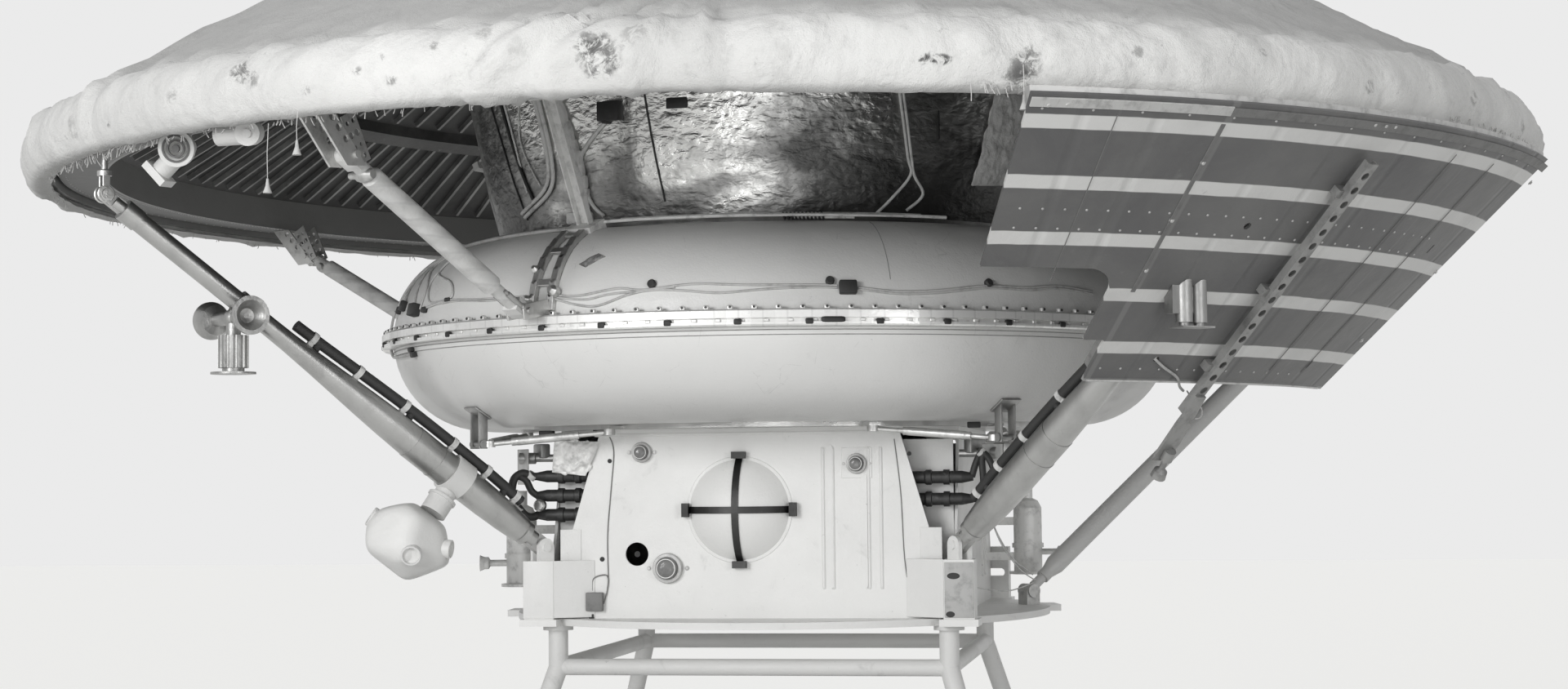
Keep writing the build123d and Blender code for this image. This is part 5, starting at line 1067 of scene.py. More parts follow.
class LANDER_OT_capsule_fittings(Operator):
    """Cables, duct, boxes and pads on the capsule"""
    bl_idname = "lander.capsule_fittings"
    bl_label = "Capsule fittings"

    def execute(self, context):
        light = plain("light_cable", 0.8, 0.6)
        dark = plain("dark_box", 0.025, 0.5)
        cables("capsule_light_cables", CAPSULE_LIGHT, on_capsule, light)
        cables("capsule_dark_cables", CAPSULE_DARK, on_capsule, dark)
        duct = []
        way = [on_capsule(*place, 0.004) for place in eased(DUCT_WAY, 5)]
        for start, end in zip(way, way[1:]):
            matrix = framed(start.lerp(end, 0.5), (start.x, start.y, 0.0), end - start)
            duct.append(block("duct", (0.034, (end - start).length * 1.08, 0.012), matrix, 0.0035))
        for azimuth, level, lift, size in DUCT_BLOCKS:
            duct.append(block("duct", size, framed(on_capsule(azimuth, level, lift), flat_way(azimuth)), 0.004))
        dress(joined("capsule_duct", duct), plain("duct_tape", 0.86, 0.7, 0.0, 90.0, 0.001))
        boxes = [block("box", (width, height, depth),
                       framed(on_capsule(azimuth, level, depth * 0.4), flat_way(azimuth)), 0.002)
                 for azimuth, level, width, height, depth in CAPSULE_BOXES]
        dress(joined("capsule_boxes", boxes), dark)
        corners = [on_capsule(azimuth, level, 0.006) for azimuth, level in CAPSULE_FELT]
        strip = patch("capsule_strip", corners, 0.006, 0.006, 0.004, 40)
        dress(strip, plain("fuzzy_felt", 0.92, 0.95, 0.0, 60.0, 0.003))
        return {"FINISHED"}


class LANDER_OT_chute_ring(Operator):
    """Parachute ring, its clamp band and the brackets on it"""
    bl_idname = "lander.chute_ring"
    bl_label = "Parachute ring"

    def execute(self, context):
        paint = context.scene.lander_paint
        ring = ring_paint(paint)
        repaint("chute_ring_upper", ring)
        repaint("chute_ring_lower", ring)
        repaint("clamp_band", band_alloy())
        repaint("ring_cradle", drawn_tube("cradle_alloy", 0.5, 0.24, 0.5))
        repaint("ring_posts", plain("post_paint", 0.82, 0.5))
        repaint("turnbuckles", plain("turnbuckle_alloy", 0.56, 0.3, 0.8))
        return {"FINISHED"}


# Cables on the parachute ring: radius, lift, (azimuth, turn) places
RING_CABLES = (
    (0.0022, 0.002, (
        (248.9, 14.6), (252.7, 13.6), (258.1, 16.8), (261.8, 15.4), (268.3, 17.9), (275.5, 16.7),
        (284.1, 16.4), (286.9, 16.0))),
    (0.0022, 0.002, (
        (248.9, 12.4), (252.5, 8.3), (255.6, 7.4), (259.8, 13.0), (263.3, 15.1), (267.3, 14.2), (271.9, 12.4),
        (277.9, 14.2), (284.1, 15.0), (286.9, 14.6))),
    (0.002, 0.002, ((248.9, 13.4), (253.5, 11.2), (257.0, 13.6), (261.0, 14.6), (266.0, 16.4))),
    (0.0024, 0.002, (
        (289.6, 14.8), (294.9, 12.6), (300.4, 13.6), (306.2, 16.5), (309.2, 17.0), (314.1, 16.8),
        (319.6, 18.8), (326.7, 16.8))),
    (0.0024, 0.002, (
        (289.6, 13.8), (294.9, 11.4), (300.4, 12.4), (306.2, 15.3), (309.2, 15.9), (314.1, 15.6),
        (319.6, 17.5), (326.7, 15.6))),
    (0.0018, 0.002, ((222.0, 17.0), (228.7, 17.2), (234.7, 15.8), (239.7, 15.4), (246.0, 15.2))),
    (0.0018, 0.002, ((222.0, 15.2), (228.8, 16.0), (234.8, 14.5), (239.8, 14.1), (246.0, 14.0))),
    (0.0024, 0.002, ((214.0, 66.0), (210.0, 60.0), (206.0, 48.0), (206.3, 33.0), (209.3, 20.0))),
    (0.0022, 0.002, ((215.0, 66.0), (210.5, 52.0), (212.4, 35.8), (215.6, 18.0))),
    (0.0022, 0.002, ((216.0, 64.0), (213.2, 47.6), (218.0, 28.6), (218.6, 14.0))),
    (0.002, 0.002, ((220.1, 52.8), (218.9, 40.0), (218.8, 30.8), (221.2, 18.4), (226.0, 15.6))),
    (0.0024, 0.003, (
        (220.1, 52.8), (219.6, 38.1), (225.7, 29.6), (227.9, 21.9), (227.2, 17.7), (220.5, 14.0))),
    (0.0028, 0.003, ((211.0, 66.0), (204.0, 52.0), (201.5, 30.0), (200.1, 17.0))),
    (0.003, 0.006, (
        (201.0, 17.6), (199.8, 7.3), (199.2, 0.4), (199.8, -6.4), (203.3, -11.3), (211.1, -12.3),
        (215.9, -12.0))),
    (0.004, 0.004, (
        (213.0, 70.0), (217.7, 73.0), (223.1, 75.0), (229.8, 76.5), (238.6, 78.0), (247.0, 77.0))),
    (0.0045, 0.004, ((221.1, 76.0), (226.6, 77.4), (233.5, 79.3), (241.2, 79.5), (249.0, 78.5))),
)
# Pale cables that lie along the top of the ring under the capsule
TOP_CABLES = (
    (0.0036, 0.012, (
        (249.0, 79.0), (254.0, 82.0), (262.0, 81.0), (272.0, 82.0), (284.0, 80.5), (296.0, 82.0),
        (308.0, 80.0))),
    (0.003, 0.014, ((262.0, 82.0), (264.0, 86.0), (268.0, 88.0), (272.5, 84.0), (278.0, 83.0))),
    (0.003, 0.014, (
        (252.0, 84.0), (266.0, 84.5), (280.0, 85.0), (288.0, 86.0), (297.0, 84.0), (304.0, 85.0))),
    (0.0024, 0.012, ((276.0, 78.0), (284.0, 79.0), (292.0, 77.5), (300.0, 79.0))),
)
# Coiled cable by the pale bundle: first and last azimuth, loops
COILED_CABLE = (280.0, 287.0, 11)
# Plugs and clips on the ring: azimuth, turn, width, height, depth
RING_PLUGS = (
    (209.6, 18.5, 0.02, 0.022, 0.014), (217.3, 13.6, 0.032, 0.026, 0.02), (220.6, 13.0, 0.018, 0.012, 0.01),
    (227.2, 17.4, 0.02, 0.008, 0.008), (220.1, 52.8, 0.02, 0.016, 0.012), (206.5, 16.6, 0.014, 0.016, 0.012),
    (215.9, -9.4, 0.016, 0.01, 0.012), (216.6, -12.6, 0.018, 0.012, 0.012),
    (288.25, 14.6, 0.033, 0.026, 0.015),
)
# Corners of the dark mark on the ring: azimuth, turn
RING_SCRAP = ((251.3, 34.0), (252.6, 31.5), (255.1, 38.8), (253.8, 41.6))
# Pale cloth bundle on top of the ring: radius, lift, (azimuth, turn) places
RING_BUNDLE = (
    (0.0062, 0.01, ((282.0, 84.0), (285.0, 83.0), (288.0, 86.0), (290.5, 83.0))),
    (0.0062, 0.01, ((286.0, 86.0), (288.0, 82.0), (290.0, 85.0), (292.0, 82.5))),
)
# Upright seams of the ring: azimuth, first and last turn
RING_SEAMS = (
    (204.0, 12, 76), (249.0, 24, 76), (294.0, 20, 76), (339.0, 12, 76), (24.0, 12, 76), (69.0, 12, 76),
    (114.0, 12, 76), (159.0, 12, 76),
)


class LANDER_OT_ring_cables(Operator):
    """Cables, plugs and clips on the parachute ring"""
    bl_idname = "lander.ring_cables"
    bl_label = "Ring cables"

    def execute(self, context):
        cables("ring_cables", RING_CABLES, on_ring, plain("grey_cable", 0.58, 0.5))
        dark = plain("dark_clip", 0.035, 0.5)
        plugs = [block("plug", (width, height, depth),
                       framed(on_ring(azimuth, turn, depth * 0.4), ring_way(azimuth, turn)), 0.0025)
                 for azimuth, turn, width, height, depth in RING_PLUGS]
        for azimuth in (262.9, 286.0, 307.9):
            clip = lathe("clip", [(0.0, 0.01), (0.006, 0.01), (0.0085, 0.007), (0.0085, 0.0), (0.0, 0.0)], 20)
            plugs.append(placed(clip, framed(on_ring(azimuth, 18.6, -0.001), ring_way(azimuth, 18.6))))
        dress(joined("ring_plugs", plugs), dark)
        scrap = patch("ring_dark_patch", [on_ring(azimuth, turn, 0.001) for azimuth, turn in RING_SCRAP],
                      0.002, 0.002, 0.003, 20)
        dress(scrap, rubbed_mark())
        cables("top_cables", TOP_CABLES, on_ring, plain("pale_cable", 0.82, 0.55))
        first, last, loops = COILED_CABLE
        coil = []
        for step in range(loops * 12 + 1):
            azimuth = first + (last - first) * step / (loops * 12)
            phase = math.radians(30.0 * step)
            coil.append(on_ring(azimuth, 83.0 + 2.2 * math.cos(phase), 0.009 + 0.006 * math.sin(phase)))
        dress(pipe("coiled_cable", coil, 0.0022), dark, ROUNDED)
        cloth = plain("bundle_cloth", 0.86, 0.9, 0.0, 70.0, 0.002)
        cables("ring_bundle", RING_BUNDLE, on_ring, cloth)
        seams = [pipe("seam", [on_ring(azimuth, turn) for turn in range(low, high + 1, 4)], 0.0007, 1)
                 for azimuth, low, high in RING_SEAMS]
        dress(joined("ring_seams", seams), plain("seam_grey", 0.3, 0.6))
        return {"FINISHED"}


class LANDER_OT_band_fittings(Operator):
    """Bolts, latches and hems of the clamp band"""
    bl_idname = "lander.band_fittings"
    bl_label = "Clamp band fittings"

    def execute(self, context):
        ear = block("ear", (0.011, 0.01, 0.01), Matrix.Translation((0, 0, 0.004)), 0.0028, 2)
        pin = turned("pin", Vector((0, -0.0075, 0.005)), Vector((0, 0.0065, 0.005)),
                     ((0.0, 0.0026), (0.014, 0.0026)), 8)
        spots = []
        for index in range(120):
            azimuth = BAND_SEGMENT * index + 0.4
            spots.append(framed(at(BAND_R - 0.01, azimuth, BAND_TOP - 0.001), UP, flat_way(azimuth)))
        dress(copies("band_ears", ear, spots), plain("ear_alloy", 0.76, 0.3, 0.5))
        # Painted shade: the pins' dark ends on the ears' outer faces stand for the shade in their bolt holes
        dress(copies("band_pins", pin, spots), plain("pin_hole_shade", 0.05, 0.4, 0.4))
        latch = block("latch", (0.015, 0.011, 0.008), Matrix.Identity(4), 0.0025, 2)
        spots = [self.on_band(360.0 * index / 41 + 2.2, 0.002, BAND_SLOT - 0.003) for index in range(41)]
        spots.append(self.on_band(286.1, 0.001, BAND_SLOT) @ Matrix.Diagonal((3.0, 1.0, 1.2, 1.0)))
        dress(copies("band_latches", latch, spots), plain("latch_steel", 0.03, 0.45, 0.3))
        tab = block("tab", (0.01, 0.0065, 0.004), Matrix.Identity(4), 0.0012, 1)
        spots = [self.on_band(BAND_SEGMENT * index + 1.9, 0.0075, BAND_SLOT) for index in range(120)]
        dress(copies("band_tabs", tab, spots), plain("tab_alloy", 0.84, 0.35, 0.3))
        hems = []
        for height, radius in ((PLATE_TOP + 0.56, 0.8463), (PLATE_TOP + 0.551, 0.844)):
            hems.append(lathe("hem", [(radius, height + 0.0008), (radius + 0.0012, height),
                                      (radius, height - 0.0008)], 180))
        dress(joined("ring_hems", hems), plain("hem_grey", 0.35, 0.5), 0.0)
        return {"FINISHED"}

    def on_band(self, azimuth, inset, level):
        """Matrix of a small fitting that faces out of the clamp band."""
        return framed(at(BAND_R - inset, azimuth, level), flat_way(azimuth))


class LANDER_OT_struts(Operator):
    """Polished, thin and wrapped struts with their ends"""
    bl_idname = "lander.struts"
    bl_label = "Struts"

    def execute(self, context):
        paint = context.scene.lander_paint
        polished = drawn_tube("polished_tube", 0.42, 0.33, 0.4)
        for azimuth in STRUT_AZIMUTHS:
            repaint(f"polished_strut_{azimuth}", polished)
        repaint("thin_struts", white_paint(paint, "thin_strut_paint", 0.6))
        repaint("thin_strut_feet", plain("foot_alloy", 0.52, 0.4, 0.5))
        repaint("upper_struts", cloth_wrap())
        repaint("upper_strut_heads", plain("bracket_alloy", 0.62, 0.38, 0.7))
        repaint("strut_cable_trunks", plain("trunk_rubber", 0.03, 0.5))
        repaint("sensor_neck", white_paint(paint, "sensor_neck_paint", 0.74))
        repaint("strut_horns", drawn_tube("horn_alloy", 0.42, 0.3))
        repaint("rim_jets", white_paint(paint, "jet_paint", 0.74))
        return {"FINISHED"}


# Flats of the sensor head, seen from the front: rightward, upward and forward parts of the way, distance
SENSOR_FLATS = (
    (-1.0, 0.0, 0.0, 0.092), (-0.638, -0.77, 0.0, 0.068), (0.348, -0.937, 0.0, 0.064),
    (0.996, 0.084, 0.0, 0.063), (0.597, 0.802, 0.0, 0.064), (-0.189, 0.982, 0.0, 0.084),
    (-0.496, 0.868, 0.0, 0.094), (0.64, -0.1, 0.76, 0.06), (-0.2, 0.12, 0.97, 0.074),
    (0.45, 0.2, -0.87, 0.068), (-0.35, -0.2, -0.91, 0.074), (-0.45, -0.7, 0.55, 0.072),
    (0.3, -0.75, 0.59, 0.064),
)
# Ports of the sensor head: rightward, upward and forward way, start and end distance, radius
SENSOR_PORTS = (
    ((0.06, -0.26, 0.96), 0.05, 0.082, 0.02), ((0.98, -0.14, 0.16), 0.04, 0.077, 0.0185),
    ((-0.8, 0.55, 0.2), 0.06, 0.104, 0.0205), ((-0.2, 0.1, -0.97), 0.05, 0.084, 0.019),
)
# Rightward and forward directions as the photo shows the sensor head
SENSOR_RIGHT = Vector((0.9862, 0.1656, 0.0))
SENSOR_FRONT = Vector((0.1656, -0.9862, 0.0))


class LANDER_OT_sensor_head(Operator):
    """Faceted sensor head with its recessed ports"""
    bl_idname = "lander.sensor_head"
    bl_label = "Sensor head"

    def execute(self, context):
        low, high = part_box("sensor_head")
        centre = (Vector(low) + Vector(high)) / 2
        paint = white_paint(context.scene.lander_paint, "sensor_paint", 0.8, 0.6)
        deselect()
        middle = centre - SENSOR_RIGHT * 0.01
        bpy.ops.mesh.primitive_ico_sphere_add(subdivisions=5, radius=0.098, location=middle)
        head = set_down(current("sensor_ball"))
        bpy.ops.object.mode_set(mode="EDIT")
        for *parts, distance in SENSOR_FLATS:
            way = self.way(*parts)
            bpy.ops.mesh.select_all(action="SELECT")
            bpy.ops.mesh.bisect(plane_co=centre + way * distance, plane_no=way, use_fill=True, clear_outer=True)
        bpy.ops.mesh.select_all(action="SELECT")
        bpy.ops.mesh.normals_make_consistent(inside=False)
        bpy.ops.object.mode_set(mode="OBJECT")
        modified(head, "REMESH", mode="VOXEL", voxel_size=0.0044)
        modified(head, "SMOOTH", iterations=75)
        dress(head, paint, SOFT)
        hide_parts("sensor_head")
        ports = []
        for parts, start, end, radius in SENSOR_PORTS:
            way, reach = self.way(*parts), end - start
            ports.append(turned("port", centre + way * start, centre + way * end, (
                (0.0, radius), (reach - 0.001, radius), (reach, radius - 0.001), (reach, radius * 0.84),
                (reach - 0.01, radius * 0.8), (reach - 0.0101, radius * 0.5)), 40))
        dress(joined("sensor_ports", ports), paint)
        return {"FINISHED"}

    def way(self, right_part, up_part, front_part):
        """Direction from its rightward, upward and forward parts."""
        return (SENSOR_RIGHT * right_part + UP * up_part + SENSOR_FRONT * front_part).normalized()


class LANDER_OT_hangers(Operator):
    """Eye rods that hang the struts, and the small forks under the parachute ring"""
    bl_idname = "lander.hangers"
    bl_label = "Eye rods and forks"

    def execute(self, context):
        eye = [(0.0066, -0.0025), (0.015, -0.0025), (0.0165, -0.0012), (0.0165, 0.0012),
               (0.015, 0.0025), (0.0066, 0.0025), (0.0066, -0.0025)]
        rods = []
        for azimuth in STRUT_AZIMUTHS:
            pin, side = pin_at(STRUT_TOP, azimuth), sideways(azimuth)
            for aside in (-0.0095, 0.0095):
                middle = pin + side * aside
                rods.append(placed(lathe("eye", eye, 28), framed(middle, side)))
                rods.append(block("neck", (0.014, 0.03, 0.005), framed(middle + UP * 0.027, side), 0.001, 1))
            rods.append(turned("rod", pin + UP * 0.034, at(STRUT_TOP[0], azimuth, UNDER_RIM), (
                (0.0, 0.0135), (0.009, 0.0135), (0.012, 0.0062), (0.056, 0.0062), (0.057, 0.0105),
                (0.066, 0.0105), (0.068, 0.008), (0.085, 0.008)), 20))
            rods.append(headed_pin(pin, side, 0.0165, 0.003, 0.0085, 0.0062))
        for azimuth in THIN_AZIMUTHS:
            radius, level = THIN_CUP
            rods.append(turned("cup", at(radius, azimuth, level), at(radius, azimuth, UNDER_RIM), (
                (0.0, 0.01), (0.002, 0.0155), (0.012, 0.0155), (0.018, 0.007), (0.052, 0.007),
                (0.053, 0.0105), (0.062, 0.0105), (0.064, 0.0075), (UNDER_RIM - level, 0.0075)), 20))
        hangers = joined("eye_hangers", rods)
        dress(hangers, drawn_tube("eye_alloy", 0.52, 0.3))
        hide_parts("eye_rods")

        forks = []
        for azimuth in FORK_AZIMUTHS:
            side = sideways(azimuth)
            pad = framed(on_ring(azimuth, -58.0, 0.002), ring_way(azimuth, -58.0))
            forks.append(block("pad", (0.05, 0.044, 0.005), pad, 0.002, 2))
            for aside in (-0.017, 0.017):
                middle = at(0.754, azimuth, 0.389) + side * aside
                forks.append(block("ear", (0.021, 0.08, 0.004), framed(middle, side), 0.0015, 2))
            forks.append(headed_pin(at(0.755, azimuth, 0.358), side, 0.023, 0.004, 0.0085, 0.0055))
        facing = Vector((0.1, -0.98, -0.18)).normalized()
        face = framed(at(1.5, 234.0, 0.884) + facing * 0.0168, facing)
        rings = []
        for inner, outer, rise in ((0.0215, 0.0255, 0.0012), (0.013, 0.0165, 0.0016), (0.0, 0.007, 0.003)):
            ring = lathe("jet_ring", [(inner, -0.003), (inner, rise), (outer, rise), (outer, -0.003)], 36)
            rings.append(placed(ring, face))
        dress(joined("jet_rings", rings), plain("jet_dark", 0.1, 0.4))
        brackets = joined("ring_forks", forks)
        dress(brackets, drawn_tube("fork_alloy", 0.34, 0.34))
        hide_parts("ring_brackets")
        return {"FINISHED"}


class LANDER_OT_strut_shoes(Operator):
    """Perforated rails on the parachute ring that carry the upper struts"""
    bl_idname = "lander.strut_shoes"
    bl_label = "Upper strut shoes"

    def execute(self, context):
        azimuth = UPPER_AZIMUTHS[2]
        side = sideways(azimuth)
        pieces = [self.holed_rail([(azimuth + aside, turn) for turn in range(6, 63, 8)])
                  for aside in (-1.55, 1.55)]
        for turn in (22.0, 44.0, 60.0):
            matrix = framed(on_ring(azimuth, turn, 0.006), ring_way(azimuth, turn))
            pieces.append(block("tie", (0.036, 0.014, 0.006), matrix, 0.001, 1))
        pin = pin_at(UPPER_FOOT, azimuth)
        inner = at(0.862, azimuth, 0.614)
        for aside in (-0.0195, 0.0195):
            matrix = framed(pin.lerp(inner, 0.42) + side * aside, side, pin - inner)
            pieces.append(block("cheek", (0.03, 0.078, 0.005), matrix, 0.0015, 2))
        pieces.append(turned("pin", pin - side * 0.027, pin + side * 0.027, ((0.0, 0.007), (0.054, 0.007)), 16))
        for aside, turn, size in ((-0.03, 16.0, 0.011), (0.034, 12.0, 0.009), (0.03, 30.0, 0.008)):
            place = on_ring(azimuth, turn, 0.004) + side * aside
            pieces.append(turned("cap", place, place + ring_way(azimuth, turn) * size * 2.0, (
                (0.0, size), (size * 1.2, size), (size * 1.6, size * 0.7), (size * 2.0, size * 0.5)), 16))
        spots = [Matrix.Rotation(math.radians(place - azimuth), 4, "Z") for place in UPPER_AZIMUTHS]
        shoes = copies("strut_shoes", joined("shoe_model", pieces), spots)
        dress(shoes, drawn_tube("shoe_alloy", 0.66, 0.36, 0.8))
        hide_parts("upper_strut_feet")
        return {"FINISHED"}

    def holed_rail(self, places):
        """Square bar that follows the parachute ring, with a row of lightening holes."""
        points = [on_ring(azimuth, turn, 0.007) for azimuth, turn in places]
        bars = []
        for (azimuth, turn), start, end in zip(places, points, points[1:]):
            matrix = framed(start.lerp(end, 0.5), ring_way(azimuth, turn), end - start)
            bars.append(block("rail", (0.015, (end - start).length * 1.12, 0.012), matrix, 0.0012, 1))
        bar = joined("rail", bars)
        for (azimuth, turn), point in list(zip(places, points))[1:-1]:
            bored(bar, 0.0046, 0.04, framed(point, ring_way(azimuth, turn)), use_self=True)
        return bar


def strut_place(azimuth, along, out):
    """Point along and above a polished strut, with the ways along and above."""
    foot = pin_at(STRUT_FOOT, azimuth)
    way = (pin_at(STRUT_TOP, azimuth) - foot).normalized()
    up = sideways(azimuth).cross(way)
    return foot + way * along + up * out, way, up


# Swell of the polished struts: distance from the foot's pin, radius
STRUT_SHAPE = (
    (0.062, 0.0269), (0.11, 0.0311), (0.165, 0.0335), (0.215, 0.0345), (0.3, 0.0345), (0.37, 0.0338),
    (0.43, 0.0321), (0.5, 0.029), (0.57, 0.0252), (0.63, 0.0221), (0.69, 0.0197), (0.74, 0.019),
)


def strut_radius(along):
    """Radius of a polished strut at a distance from its foot's pin."""
    return float(np.interp(along, [row[0] for row in STRUT_SHAPE], [row[1] for row in STRUT_SHAPE]))
# White ties round the cable trunks: distance along the strut
TRUNK_TIES = (0.112, 0.196, 0.29, 0.42, 0.54, 0.655)
# Height of a trunk's middle over the strut's surface
TRUNK_CLEAR = 0.0169


class LANDER_OT_strut_fittings(Operator):
    """Ties of the trunks, plate brackets of the upper struts and their bulbs"""
    bl_idname = "lander.strut_fittings"
    bl_label = "Strut fittings"

    def execute(self, context):
        tie = [(0.0112, -0.006), (0.0128, -0.0055), (0.013, 0.0), (0.0128, 0.0055), (0.0112, 0.006)]
        pieces = []
        for azimuth in STRUT_AZIMUTHS[1:]:
            for along in TRUNK_TIES:
                point, way, up = strut_place(azimuth, along, strut_radius(along) + TRUNK_CLEAR)
                pieces.append(placed(lathe("tie", tie, 20), framed(point, way, up)))
                point, way, up = strut_place(azimuth, along, strut_radius(along) + 0.004)
                pieces.append(block("pad", (0.012, 0.014, 0.012), framed(point, way, up), 0.002))
        dress(joined("trunk_ties", pieces), plain("tie_tape", 0.74, 0.7, 0.0, 90.0, 0.0008))

        spots = []
        for azimuth in UPPER_AZIMUTHS:
            side = sideways(azimuth)
            rise = at(1.39, azimuth, 0.905) - at(1.35, azimuth, 0.83)
            spots += [framed(at(1.39, azimuth, 0.88) + side * aside, side, rise) for aside in (-0.02, 0.02)]
        plates = copies("strut_head_plates", self.holed_plate(), spots)
        dress(plates, plain("plate_alloy", 0.46, 0.36, 0.6))

        bulbs, clutter = [], []
        for azimuth in UPPER_AZIMUTHS:
            side = sideways(azimuth)
            foot = at(1.345, azimuth, 0.822)
            bulbs.append(turned("bulb", foot - side * 0.02, foot + side * 0.034, (
                (0.0, 0.008), (0.01, 0.013), (0.022, 0.015),
                (0.034, 0.012), (0.04, 0.007), (0.054, 0.006)), 20))
            foot = pin_at(UPPER_FOOT, azimuth)
            way = (at(1.39, azimuth, 0.852) - foot).normalized()
            for aside, reach, radius in ((-0.016, 0.062, 0.0055), (0.0, 0.07, 0.007), (0.016, 0.058, 0.0055)):
                start = foot + way * 0.012 + side * aside
                clutter.append(turned("tube", start, start + way * reach, (
                    (0.0, radius * 1.3), (0.006, radius * 1.3), (0.006, radius), (reach - 0.01, radius),
                    (reach - 0.01, radius * 0.6), (reach, radius * 0.6)), 14))
        dress(joined("strut_bulbs", bulbs), plain("bulb_alloy", 0.5, 0.35, 0.5))
        dress(joined("strut_foot_tubes", clutter), plain("foot_tube_alloy", 0.4, 0.3, 0.7))
        return {"FINISHED"}

    def holed_plate(self):
        """Plate with two columns of lightening holes, standing on +Y."""
        deselect()
        bpy.ops.mesh.primitive_plane_add(size=1.0, location=(0, 0, 0))
        bpy.ops.object.mode_set(mode="EDIT")
        bpy.ops.transform.resize(value=(0.036, 0.092, 1.0))
        bpy.ops.object.mode_set(mode="OBJECT")
        plate = modified(set_down(current("holed_plate")), "SOLIDIFY", thickness=0.003, offset=0.0)
        for y, radius in ((-0.034, 0.005), (-0.014, 0.0038), (0.008, 0.0062), (0.03, 0.0044)):
            for x in (-0.0075, 0.0085):
                bored(plate, radius, 0.02, Matrix.Translation((x, y, 0)))
        return plate


class LANDER_OT_striped_panel(Operator):
    """Striped panel with its beam and jets"""
    bl_idname = "lander.striped_panel"
    bl_label = "Striped panel"

    def execute(self, context):
        repaint("striped_panel", striped_skin(context.scene.lander_skin))
        repaint("panel_frame", plain("frame_alloy", 0.3, 0.4, 0.7))
        repaint("panel_flange", plain("flange_alloy", 0.52, 0.42, 0.5))
        repaint("perforated_beam", plain("beam_alloy", 0.3, 0.42, 0.6))
        repaint("panel_thrusters", drawn_tube("thruster_alloy", 0.4, 0.26))
        return {"FINISHED"}


# Rivet rows across the striped panel: share of the slope, first and last azimuth, pitch
PANEL_ROWS = (
    (0.6235, 295.2, 336.6, 1.55), (0.557, 295.2, 336.6, 1.55), (0.05, 307.4, 333.0, 2.1),
    (0.952, 294.6, 344.0, 3.1),
)
# Wires by the striped panel's beam: radius, (x, y, level) places
PANEL_WIRES = (
    (0.0026, (
        (0.831, -0.909, 0.489), (0.847, -0.885, 0.474), (0.869, -0.834, 0.458), (0.873, -0.794, 0.443),
        (0.879, -0.765, 0.436))),
    (0.0016, (
        (0.886, -0.74, 0.436), (0.89, -0.728, 0.43), (0.902, -0.714, 0.415), (0.912, -0.701, 0.403),
        (0.91, -0.687, 0.389), (0.9, -0.678, 0.386))),
)
# Single bolts of the striped panel: azimuth, share
PANEL_BOLTS = (
    (294.9, 0.965), (296.0, 0.969), (318.0, 0.975), (319.0, 0.976), (319.9, 0.977), (345.8, 0.912),
    (344.0, 0.518), (342.0, 0.213), (306.5, 0.8), (306.5, 0.6), (306.6, 0.42),
)
# Raised strips up the striped panel: azimuth, foot share, top share, width
PANEL_STRIPS = (
    (306.5, 0.34, 0.93, 0.009), (299.3, 0.37, 0.94, 0.0016), (328.6, 0.06, 0.92, 0.0016),
    (334.7, 0.06, 0.92, 0.0016),
)


class LANDER_OT_panel_fittings(Operator):
    """Rivets, bolts, strips and cables of the striped panel"""
    bl_idname = "lander.panel_fittings"
    bl_label = "Striped panel fittings"

    def execute(self, context):
        spots = []
        for share, first, last, pitch in PANEL_ROWS:
            for index in range(int((last - first) / pitch) + 1):
                azimuth = first + index * pitch
                spots.append(framed(on_skin(azimuth, share), skin_way(azimuth)))
        rivets = copies("panel_rivets", dome("rivet", 0.0026, 0.0016, 8), spots)
        dress(rivets, plain("rivet_grey", 0.42, 0.4, 0.4), ROUNDED)
        spots = [framed(on_skin(azimuth, share), skin_way(azimuth)) for azimuth, share in PANEL_BOLTS]
        bolts = copies("panel_bolts", bolt("bolt", 0.0036, 0.0034), spots)
        dress(bolts, plain("bolt_grey", 0.5, 0.35, 0.6))
        strips = []
        for azimuth, low, high, width in PANEL_STRIPS:
            foot, top = on_skin(azimuth, low), on_skin(azimuth, high)
            matrix = framed(foot.lerp(top, 0.5), skin_way(azimuth), top - foot)
            strips.append(block("strip", (width, (top - foot).length, 0.0024), matrix, 0.0006, 1))
        dress(joined("panel_strips", strips), plain("strip_grey", 0.17, 0.45, 0.2))
        rims = {"rim_paint": [], "rim_dark": []}
        for azimuth in np.arange(293.8, 345.6, 0.8):
            painted = azimuth < 306.2
            start, end = on_skin(azimuth, 0.955, 0.001), on_skin(azimuth + 0.8, 0.955, 0.001)
            top = on_skin(azimuth + 0.4, 0.992 if painted else 0.988, 0.001)
            matrix = framed(start.lerp(end, 0.5).lerp(top, 0.5), skin_way(azimuth + 0.4), end - start)
            size = ((top - start).length * 0.72, (end - start).length * 1.02, 0.003)
            rims["rim_paint" if painted else "rim_dark"].append(block("rim", size, matrix, 0.0006, 1))
        for name, level in (("rim_paint", 0.56), ("rim_dark", 0.2)):
            dress(joined(f"panel_{name}", rims[name]), plain(name, level, 0.5, 0.1))
        lip = [on_skin(azimuth, 0.004, 0.0015) for azimuth in np.arange(306.6, 343.0, 0.6)]
        dress(pipe("panel_lip", lip, 0.0022), plain("lip_alloy", 0.55, 0.4, 0.4), ROUNDED)
        wires("panel_wires", PANEL_WIRES, 6, plain("panel_wire", 0.52, 0.55))
        return {"FINISHED"}


